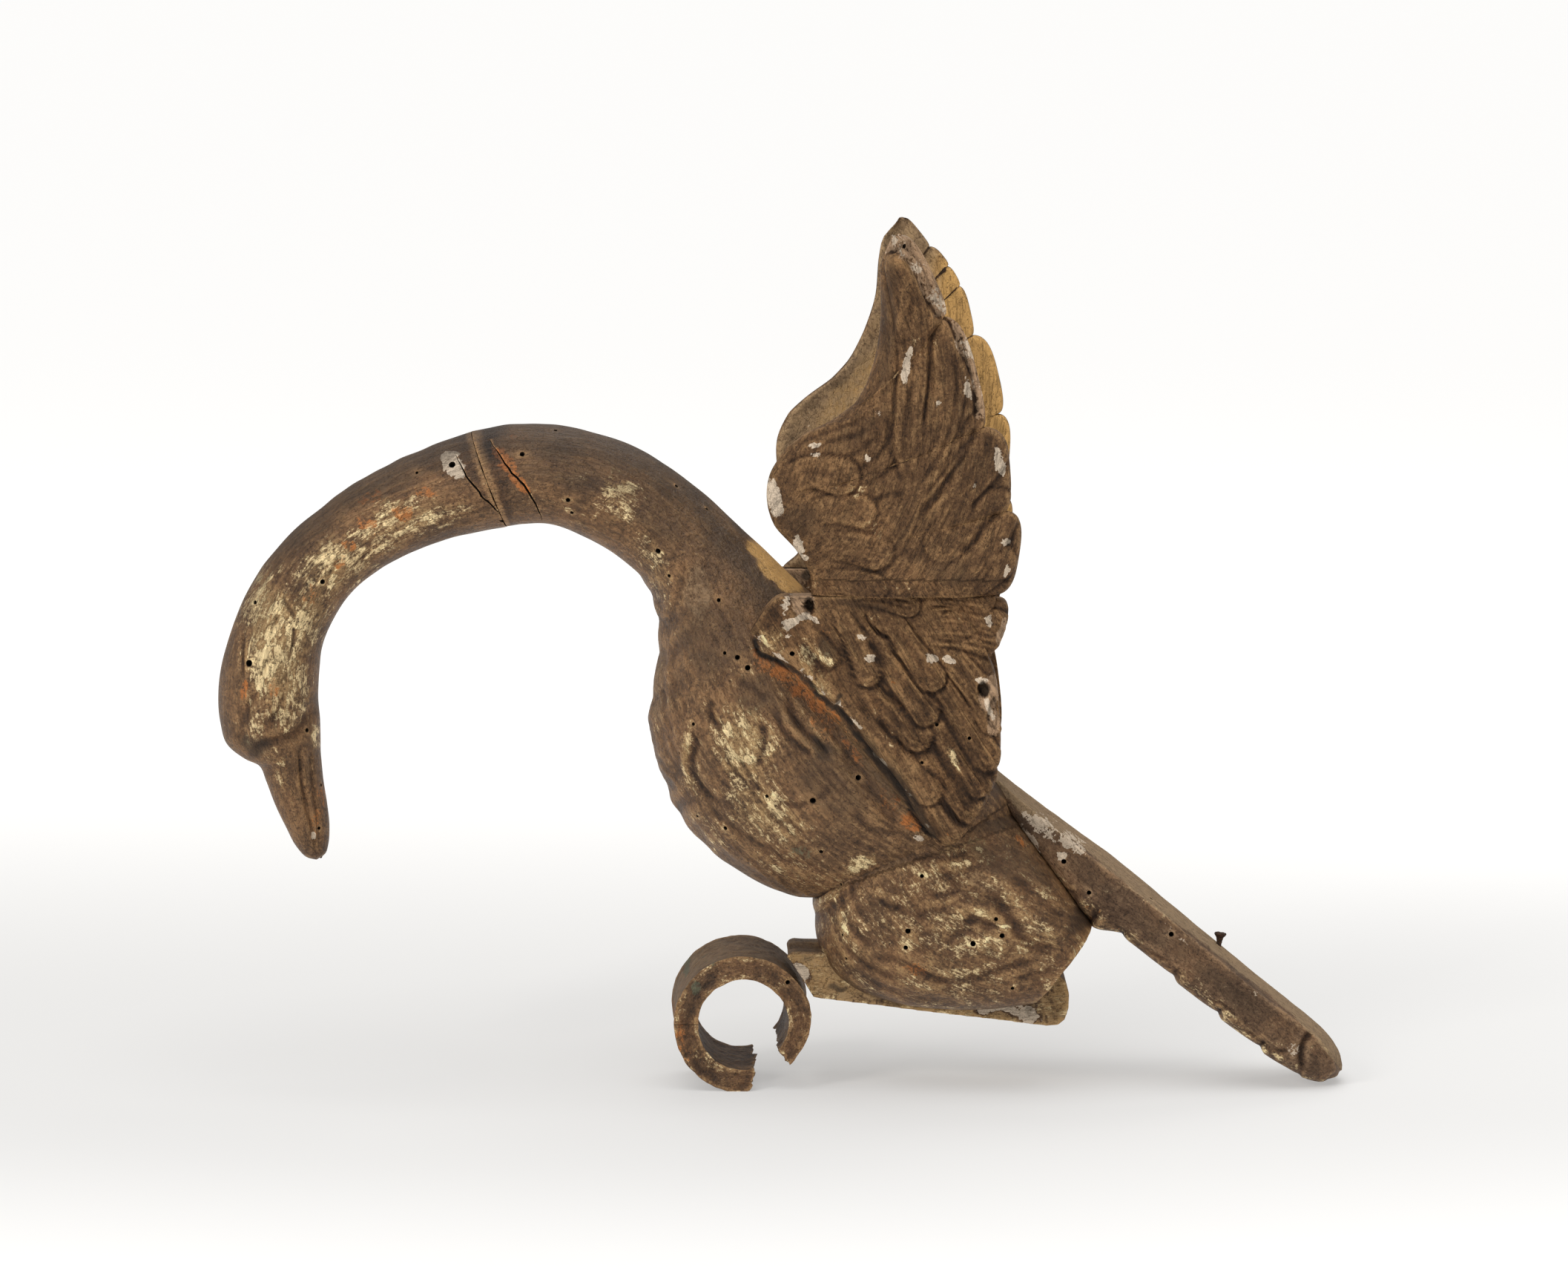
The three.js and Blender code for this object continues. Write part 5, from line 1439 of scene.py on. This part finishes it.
def rod(name, radius, depth, place, sides=12):
    """A round rod along Y, moved by a matrix."""
    bm = bmesh.new()
    bmesh.ops.create_cone(
        bm, cap_ends=True, segments=sides, radius1=radius, radius2=radius, depth=depth,
        matrix=place @ Matrix.Rotation(pi / 2, 4, "X"),
    )
    return mesh_from(bm, name)


def remeshed(mesh, size):
    """The mesh rebuilt with even faces of about that size."""
    thing = linked("working", mesh)
    change = thing.modifiers.new("even", "REMESH")
    change.mode = "VOXEL"
    change.voxel_size = size
    return outcome(thing)


def carved_body(fine):
    """Breast and rump in one, over the channel that the rail lies in."""
    breast = loft("breast", BREAST, round(250 * fine), round(230 * fine), (4, 8), near=1.8)
    rump = loft("rump", RUMP, round(95 * fine), round(200 * fine), (5, 30), near=1.8)
    for mesh, rule in ((breast, breast_relief), (rump, rump_relief)):
        coated(carve(mesh, rule), bpy.data.materials["gilt wood"])
    mesh = merge(breast, rump, "UNION")
    for lift in (FITTING_GAP, -3):
        mesh = cut(mesh, rail_blank(FITTING_GAP, lift), "raw wood")
    mesh = cut(mesh, crack_cutter(mesh, CRACKS["body"]), "worm hole")
    worn(bored(mesh, "body"), "body")


def carved_head(fine):
    """Head, beak and the front of the neck."""
    mesh = loft("head", HEAD, round(240 * fine), round(170 * fine), (6, 5), near=1.5)
    coated(carve(mesh, head_relief), bpy.data.materials["gilt wood"])
    mesh = cut(mesh, crack_cutter(mesh, CRACKS["head_neck"]), "worm hole")
    radius, length = PIN[2:4]
    socket = rod("socket", radius + FITTING_GAP, length + 0.6, pin_place())
    worn(cut(bored(mesh, "head_neck"), socket, "worm hole"), "head_neck")


def pin_place():
    x, z, _, length, lean = PIN
    middle = Matrix.Translation((x, 0, z - length / 2))
    return middle @ Matrix.Rotation(lean, 4, "Y") @ Matrix.Rotation(pi / 2, 4, "X")


def edge_at(edge, heights):
    """How far along X a smooth leading edge stands at those heights."""
    edge = np.array(edge)
    times = np.interp(heights, edge[:, 1], np.arange(len(edge)))
    return smoothed(np.hstack([edge, edge]), times)[:, 0]


def feathered_rows(notches, pitch):
    """The rows of a feathered plate: x and z of its edge, its feather's root and its ridge's height."""
    rows = []
    for low, high in zip(notches, notches[1:]):
        length = float(np.hypot(high[0] - low[0], high[1] - low[1]))
        count = max(8, round(length / pitch))
        share = (1 - np.cos(np.arange(count) / count * pi)) / 2
        swell = np.cbrt(np.maximum(1 - np.abs(2 * share - 1) ** 3, 0))
        x = low[0] + (high[0] - low[0]) * share + low[3] * swell * (1 + low[4] * (2 * share - 1))
        z = low[1] + (high[1] - low[1]) * share
        root = low[2] + (high[2] - low[2]) * share
        rows.append(np.column_stack([x, z, root, np.sin(share * pi) ** 0.7]))
    return np.vstack([*rows, (*notches[-1][:3], 0)])


def rounded(distance, radius, least):
    """How thick a plate is near its edge, as a share of its full thickness."""
    share = np.clip(distance / radius, 0, 1)
    return least + (1 - least) * np.sqrt(1 - (1 - share) ** 2)


def blade(leading, notches, side, pitch):
    """A wing blade: a plate that bows outwards and is hollow on its inner side."""
    rows = feathered_rows(notches, pitch)
    last = len(rows) - 1

    def place(x, y, z):
        edge, top, root, ridge = rows[np.rint(y * last).astype(int)].T
        front = edge_at(leading, root)
        height = root + (top - root) * x**1.4
        rise = np.clip((height - WING_SEAM) / (WING_TIP - WING_SEAM), 0, 1)
        bow = np.maximum(np.sin(x * pi), 0)
        middle = BLADE_OFFSET[0] + (BLADE_OFFSET[1] - BLADE_OFFSET[0]) * rise**1.5 + BLADE_CAMBER * bow
        full = BLADE_THICKNESS[0] + (BLADE_THICKNESS[1] - BLADE_THICKNESS[0]) * rise
        thick = BLADE_THICKNESS[2] + (full - BLADE_THICKNESS[2]) * np.sqrt(bow)
        chord = np.maximum(edge - front, 6)
        thick *= rounded(x * chord, 3.2, 0.2) * rounded((1 - x) * chord, 1.8, 0.6)
        thick *= rounded(WING_TIP - height, 2.5, 0.35)
        outer = FEATHER_RIDGE * ridge * x * np.maximum(2 * z - 1, 0)
        depth = middle + (z - 0.5) * thick + outer
        return np.column_stack([front + (edge - front) * x, side * depth, height])

    return block("blade", (round(BLADE_CHORD / pitch), last, 5), place)


def wing_root(side, pitch):
    """The applied shoulder and flank feathers below a blade."""
    rows = feathered_rows(ROOT_NOTCHES, pitch)
    last = len(rows) - 1
    seam = WING_SEAM - FITTING_GAP

    def place(x, y, z):
        edge, low, root, ridge = rows[np.rint(x * last).astype(int)].T
        climb = np.minimum(root / ROOT_CORNER[1], 1)
        top_x = ROOT_START[0] + (ROOT_CORNER[0] - ROOT_START[0]) * root
        top_z = ROOT_START[1] + (seam - ROOT_START[1]) * np.sin(climb * pi / 2)
        reach = edge + (FAR_ROOT_REACH * np.sin(root * pi) if side > 0 else 0)
        crown = ROOT_FRONT + (ROOT_OUTER - ROOT_FRONT) * np.sqrt(np.maximum(np.sin(root * pi), 0))
        outer = crown + FEATHER_RIDGE * ridge * y
        length = np.hypot(reach - top_x, low - top_z)
        outer -= 3.5 * (1 - rounded((1 - y) * length, 4.5, 0))
        front = np.hypot(top_x - ROOT_START[0], top_z - ROOT_START[1]) * (1 - y) + root * 40 * y
        outer -= 3 * (1 - rounded(front, 5, 0)) * (y > 0.02)
        depth = ROOT_INNER + (outer - ROOT_INNER) * z
        return np.column_stack([top_x + (reach - top_x) * y, side * depth, top_z + (low - top_z) * y**1.08])

    return block("root", (last, round(ROOT_LENGTH / pitch), 8), place)


def carved_blade(fine, name, leading, notches, side):
    mesh = blade(leading, notches, side, (0.8 if side < 0 else 0.95) / fine)
    coated(carve(mesh, blade_relief(side)), bpy.data.materials["wing wood"])
    worn(bored(mesh, name), name)


def carved_root(fine, name, side):
    mesh = wing_root(side, (0.85 if side < 0 else 1.1) / fine)
    coated(carve(mesh, root_relief(side)), bpy.data.materials["wing wood"])
    worn(bored(fitted(mesh), name), name)


def carved_tail(fine):
    """The tail board, let into the back of the body."""
    mesh = loft("tail", TAIL, round(210 * fine), round(150 * fine), (4, 6), near=1.4)
    coated(grounded(carve(mesh, tail_relief)), bpy.data.materials["ochre wood"])
    bore = rod("bore", NAIL[4] + FITTING_GAP, 2 * NAIL[7], nail_place() @ Matrix.Rotation(pi / 2, 4, "X"))
    worn(bored(cut(fitted(mesh), bore, "worm hole"), "tail"), "tail")


def nail_place():
    x, y, z, lean = NAIL[:4]
    return Matrix.Translation((x, y, z)) @ Matrix.Rotation(lean, 4, "Y")


def carved_rail(fine):
    """The straight end of the scroll: a board with a hollow top between two lips."""
    ring_x, ring_z = RING_MIDDLE
    bore = rod("bore", RING_OUTER + FITTING_GAP, 120, Matrix.Translation((ring_x, 0, ring_z)), 96)
    start, length, half, depth, top, fall = RAIL_HOLLOW
    slope = np.arctan2(-fall, length)
    hollow = Matrix.Translation((start + length / 2, 0, top - fall / 2)) @ Matrix.Rotation(-slope, 4, "Y")
    hollow = hollow @ Matrix.Diagonal((1, half, depth, 1)) @ Matrix.Rotation(pi / 2, 4, "Z")
    mesh = merge(merge(rail_blank(), bore), rod("hollow", 1, length, hollow, 32))
    mesh = carve(remeshed(mesh, RAIL_CELL / fine), plain_relief)
    worn(bored(coated(mesh, bpy.data.materials["gilt wood"]), "scroll_rail"), "scroll_rail")


def carved_curl(fine):
    """The broken ring of the scroll, hollow on its outside and splintered at its ends."""
    sweep = 360 - (RING_BREAK[1] - RING_BREAK[0])

    def place(x, y, z):
        across = 2 * z - 1
        rim = np.abs(across) ** 4
        taper = np.maximum(x - 0.85, 0) / 0.15
        outer = RING_OUTER - RING_HOLLOW * (1 - rim) - RING_THINNING * taper
        inner = RING_INNER - RING_THINNING / 3 * taper + 0.9 * (1 - rim)
        radius = inner + (outer - inner) * y
        torn = np.column_stack([across * RING_HALF_WIDTH, radius * 1.4, np.where(x > 0.5, 60, 0)])
        split = 5 * grain(torn, 5, 41) + 3 * grain(torn, 1.7, 42)
        ends = soft(x, 0.95, 1) + soft(1 - x, 0.95, 1)
        lean = 13 * soft(1 - x, 0.9, 1) * (1 - y)
        angle = np.radians(RING_BREAK[0] - x * sweep + ends * split * np.where(x > 0.5, 1, 0.8) + lean)
        long_way = RING_MIDDLE[0] + radius * np.cos(angle) + RING_SHIFT[0] * z
        height = RING_MIDDLE[1] + radius * np.sin(angle) + RING_SHIFT[1] * z
        return np.column_stack([long_way, across * RING_HALF_WIDTH, height])

    mesh = block("curl", (round(190 * fine), round(10 * fine), round(52 * fine)), place)
    coated(grounded(carve(mesh, battered_relief)), bpy.data.materials["gilt wood"])
    worn(bored(mesh, "scroll_curl"), "scroll_curl")


def turned(name, profile, place, roughness):
    """A small forged pin with that profile of radius and height, a little uneven."""
    bm = bmesh.new()
    line = [bm.verts.new((radius, 0, height)) for radius, height in profile]
    edges = [bm.edges.new(pair) for pair in zip(line, line[1:])]
    middle, upright = (0, 0, 0), (0, 0, 1)
    bmesh.ops.spin(bm, geom=line + edges, cent=middle, axis=upright, angle=tau, steps=20, use_merge=True)
    bmesh.ops.remove_doubles(bm, verts=bm.verts, dist=WELDING)
    bmesh.ops.subdivide_edges(bm, edges=bm.edges, cuts=2, use_grid_fill=True)
    bmesh.ops.recalc_face_normals(bm, faces=bm.faces)
    mesh = mesh_from(bm, name)
    carve(mesh, lambda points, normals: roughness * grain(points, 0.9, 51))
    mesh.transform(place)
    return mesh


def forged_irons():
    """The nail in the tail and the pin in the beak's tip."""
    shank, head, length, sunk = NAIL[4:]
    profile = (
        (0, -sunk), (0.6 * shank, -sunk), (shank, 0), (1.1 * shank, length - 3.6),
        (0.62 * head, length - 2.2), (head, length - 0.9), (0.9 * head, length - 0.35),
        (0.45 * head, length - 0.5), (0, length - 0.6),
    )
    nail = turned("nail", profile, nail_place(), 0.16)
    radius, length = PIN[2:4]
    profile = (
        (0, 0.05 * length), (0.7 * radius, 0.05 * length), (radius, 0.15 * length), (radius, length / 2),
        (0, length / 2),
    )
    pin = turned("pin", profile, pin_place() @ Matrix.Rotation(-pi / 2, 4, "X"), 0.06)
    for mesh, node in ((nail, "tail_nail"), (pin, "beak_pin")):
        settled(coated(mesh, bpy.data.materials["rusty iron"]), node)


def stage_floor(settings):
    bm = bmesh.new()
    bmesh.ops.create_grid(bm, x_segments=8, y_segments=8, size=settings.floor_size)
    mesh = mesh_from(bm, "floor")
    finish = Finish("pale floor")
    split = finish.tree.nodes.new("ShaderNodeSeparateXYZ")
    finish.tree.links.new(finish.place, split.inputs[0])
    along, away = (Share(finish.tree, split.outputs[axis]) for axis in "XY")
    # Painted shadow and light fall-off on the floor: it is darker in a broad band under the swan, from a
    # little before it to a little behind it, and darker still to the left. The floor also glows by itself,
    # which lightens its shadows.
    pale = away.between(0.12, 1.1) + away.between(-0.5, -0.04, 0.9, 0)
    pale = pale + along.between(-0.1, 0.6, 0, 0.42)
    colour = finish.over(shade(settings.floor_colour, settings.floor_painted_shade), settings.floor_colour, pale)
    lit = settings.floor_glow
    finish.set(Base_Color=finish.shaded(colour, 1 - 0.6 * lit), Emission_Color=colour, Emission_Strength=lit)
    finish.set(Roughness=1, Specular_IOR_Level=0)
    floor = linked("floor", coated(mesh, finish.material))


def aimed(thing, place, aim):
    """Puts a lamp or camera in its place and turns it to its aim."""
    thing.location = place
    thing.rotation_euler = (Vector(aim) - Vector(place)).to_track_quat("-Z", "Y").to_euler()


def stage_lights(settings):
    scene = bpy.context.scene
    scene.world = bpy.data.worlds.new("studio")
    scene.world.use_nodes = True
    room = scene.world.node_tree.nodes["Background"].inputs
    room["Color"].default_value = (*settings.room_colour, 1)
    room["Strength"].default_value = settings.room_light
    for name, place, aim, size, power in LIGHTS:
        lamp = bpy.data.lights.new(name, "AREA")
        lamp.shape = "RECTANGLE"
        lamp.size, lamp.size_y = size
        lamp.energy = power * settings.lamp_light
        lamp.color = settings.lamp_colour
        aimed(linked(name, lamp), place, aim)
    sun = bpy.data.lights.new("ceiling", "SUN")
    sun.energy = settings.ceiling_light
    sun.angle = radians(CEILING_SPREAD)
    linked("ceiling", sun).rotation_euler = [radians(turn) for turn in CEILING_TURN]
    scene.view_settings.view_transform = "Standard"


def main_camera():
    lens = bpy.data.cameras.new("main camera")
    lens.sensor_width = SENSOR_WIDTH
    lens.lens = VIEW_LENS
    lens.clip_start, lens.clip_end = CLIPPING
    camera = linked("main camera", lens)
    aimed(camera, (EYE - ORIGIN) * MILLIMETRE, (VIEW_TARGET - ORIGIN) * MILLIMETRE)
    bpy.context.scene.camera = camera


def tone_setting(name, default, words):
    return FloatVectorProperty(
        name=name, description=words, default=default, min=0, max=1, size=3, subtype="COLOR"
    )


def share_setting(name, default, words, least=0, most=1):
    return FloatProperty(
        name=name, description=words, default=default, min=least, max=most, subtype="FACTOR"
    )


def strength_setting(name, default, words):
    return FloatProperty(name=name, description=words, default=default, min=0)


class SwanCarving(bpy.types.PropertyGroup):
    """How the swan is carved."""

    fineness: share_setting("Fineness", 1, "How finely the surfaces are cut", 0.3, 1.2)


class SwanFinish(bpy.types.PropertyGroup):
    """The colours of the gilding and of what shows under and over it."""

    gilding: share_setting("Gilding", 1, "How much leaf is left on the worn places", 0, 1.5)
    dark: tone_setting("Darkest brown", (0.052, 0.024, 0.01), "Tarnish in the hollows")
    brown: tone_setting("Brown", (0.138, 0.071, 0.03), "Tarnished gilding")
    light: tone_setting("Light brown", (0.31, 0.182, 0.08), "Rubbed places that still hold some leaf")
    ruddy: tone_setting("Ruddy brown", (0.2, 0.08, 0.028), "Bole that glows through the tarnish")
    old_gold: tone_setting("Old gold", (0.45, 0.29, 0.13), "Leaf under a veil of dirt")
    gold: tone_setting("Gold", (1.0, 0.79, 0.45), "Leaf that still shines")
    bole: tone_setting("Bole", (0.5, 0.165, 0.035), "The orange clay under the leaf")
    gesso: tone_setting("Gesso", (0.7, 0.57, 0.43), "The white ground under the bole")
    ochre: tone_setting("Ochre", (0.56, 0.325, 0.11), "Yellow paint on the backs of the wings")
    dust: tone_setting("Dust", (0.36, 0.25, 0.145), "Grey dust on what faces up")
    soot: tone_setting("Soot", (0.022, 0.016, 0.011), "Black dirt")
    bare: tone_setting("Bare wood", (0.42, 0.27, 0.16), "Wood that a break laid open")
    green: tone_setting("Verdigris", (0.12, 0.14, 0.085), "Green stains on the ring")
    iron: tone_setting("Iron", (0.03, 0.022, 0.017), "The nail and the pin")
    rust: tone_setting("Rust", (0.12, 0.05, 0.022), "Rust on the nail and the pin")


class SwanStage(bpy.types.PropertyGroup):
    """The floor and the studio light."""

    floor_size: FloatProperty(
        name="Floor", description="Half the width of the floor", default=30, min=1, unit="LENGTH"
    )
    floor_colour: tone_setting("Floor colour", (0.86, 0.855, 0.845), "The pale studio floor")
    # The floor's painted shadow under the swan, as the share of its colour that remains there.
    floor_painted_shade: share_setting("Floor fall-off", 0.75, "How pale the floor under the swan is", 0.5)
    floor_glow: share_setting("Floor glow", 0.56, "How much the floor shines by itself, like a light table")
    room_colour: tone_setting("Room colour", (1.0, 0.99, 0.975), "The light that comes from all round")
    room_light: strength_setting("Room light", 0.34, "Strength of the light all round")
    ceiling_light: strength_setting("Ceiling light", 1.75, "Strength of the broad light from above")
    lamp_light: strength_setting("Lamps", 1, "Strength of the soft lamps")
    lamp_colour: tone_setting("Lamp colour", (1.0, 0.975, 0.94), "The colour of the soft lamps")


class SwanSettings(bpy.types.PropertyGroup):
    """All that a user would change."""

    carving: PointerProperty(type=SwanCarving)
    finish: PointerProperty(type=SwanFinish)
    stage: PointerProperty(type=SwanStage)


def prepared(context):
    """Makes the finishes if they aren't there yet, and says how finely to carve."""
    finishes(context.scene.swan.finish)
    return context.scene.swan.carving.fineness


class SWAN_OT_body(bpy.types.Operator):
    """Carve the breast and the rump"""

    bl_idname = "swan.body"
    bl_label = "Body"

    def execute(self, context):
        carved_body(prepared(context))
        return {"FINISHED"}


class SWAN_OT_head(bpy.types.Operator):
    """Carve the head, the beak and the front of the neck"""

    bl_idname = "swan.head"
    bl_label = "Head and neck"

    def execute(self, context):
        carved_head(prepared(context))
        return {"FINISHED"}


class SWAN_OT_wings(bpy.types.Operator):
    """Carve both raised wing blades and the shoulder feathers below them"""

    bl_idname = "swan.wings"
    bl_label = "Wings"

    def execute(self, context):
        fine = prepared(context)
        carved_blade(fine, "wing_blade_left", NEAR_LEADING_EDGE, NEAR_NOTCHES, -1)
        carved_blade(fine, "wing_blade_right", FAR_LEADING_EDGE, FAR_NOTCHES, 1)
        carved_root(fine, "wing_root_left", -1)
        carved_root(fine, "wing_root_right", 1)
        return {"FINISHED"}


class SWAN_OT_tail(bpy.types.Operator):
    """Carve the tail board"""

    bl_idname = "swan.tail"
    bl_label = "Tail"

    def execute(self, context):
        carved_tail(prepared(context))
        return {"FINISHED"}


class SWAN_OT_scroll(bpy.types.Operator):
    """Carve the rail and the broken ring of the scroll"""

    bl_idname = "swan.scroll"
    bl_label = "Scroll"

    def execute(self, context):
        fine = prepared(context)
        carved_rail(fine)
        carved_curl(fine)
        return {"FINISHED"}


class SWAN_OT_irons(bpy.types.Operator):
    """Forge the nail in the tail and the pin in the beak"""

    bl_idname = "swan.irons"
    bl_label = "Nail and pin"

    def execute(self, context):
        prepared(context)
        forged_irons()
        return {"FINISHED"}


class SWAN_OT_stage(bpy.types.Operator):
    """Lay the floor, hang the lights and place the camera"""

    bl_idname = "swan.stage"
    bl_label = "Floor, lights and camera"

    def execute(self, context):
        stage_floor(context.scene.swan.stage)
        stage_lights(context.scene.swan.stage)
        main_camera()
        return {"FINISHED"}


class SWAN_PT_panel(bpy.types.Panel):
    """The swan's pieces in the order in which they are made"""

    bl_idname = "SWAN_PT_panel"
    bl_label = "Gilded wooden swan"
    bl_space_type = "VIEW_3D"
    bl_region_type = "UI"
    bl_category = "Swan"

    def draw(self, context):
        settings = context.scene.swan
        for group in (settings.carving, settings.finish, settings.stage):
            box = self.layout.box()
            for name in group.__annotations__:
                box.prop(group, name)
        for operator in OPERATORS:
            self.layout.operator(operator.bl_idname)


OPERATORS = (
    SWAN_OT_body, SWAN_OT_head, SWAN_OT_wings, SWAN_OT_tail, SWAN_OT_scroll, SWAN_OT_irons, SWAN_OT_stage,
)
CLASSES = (SwanCarving, SwanFinish, SwanStage, SwanSettings, *OPERATORS, SWAN_PT_panel)


def register():
    for item in CLASSES:
        bpy.utils.register_class(item)
    bpy.types.Scene.swan = PointerProperty(type=SwanSettings)


def unregister():
    del bpy.types.Scene.swan
    for item in reversed(CLASSES):
        bpy.utils.unregister_class(item)


def main():
    register()
    bpy.ops.swan.body()
    bpy.ops.swan.head()
    bpy.ops.swan.wings()
    bpy.ops.swan.tail()
    bpy.ops.swan.scroll()
    bpy.ops.swan.irons()
    bpy.ops.swan.stage()


if __name__ == "__main__":
    main()
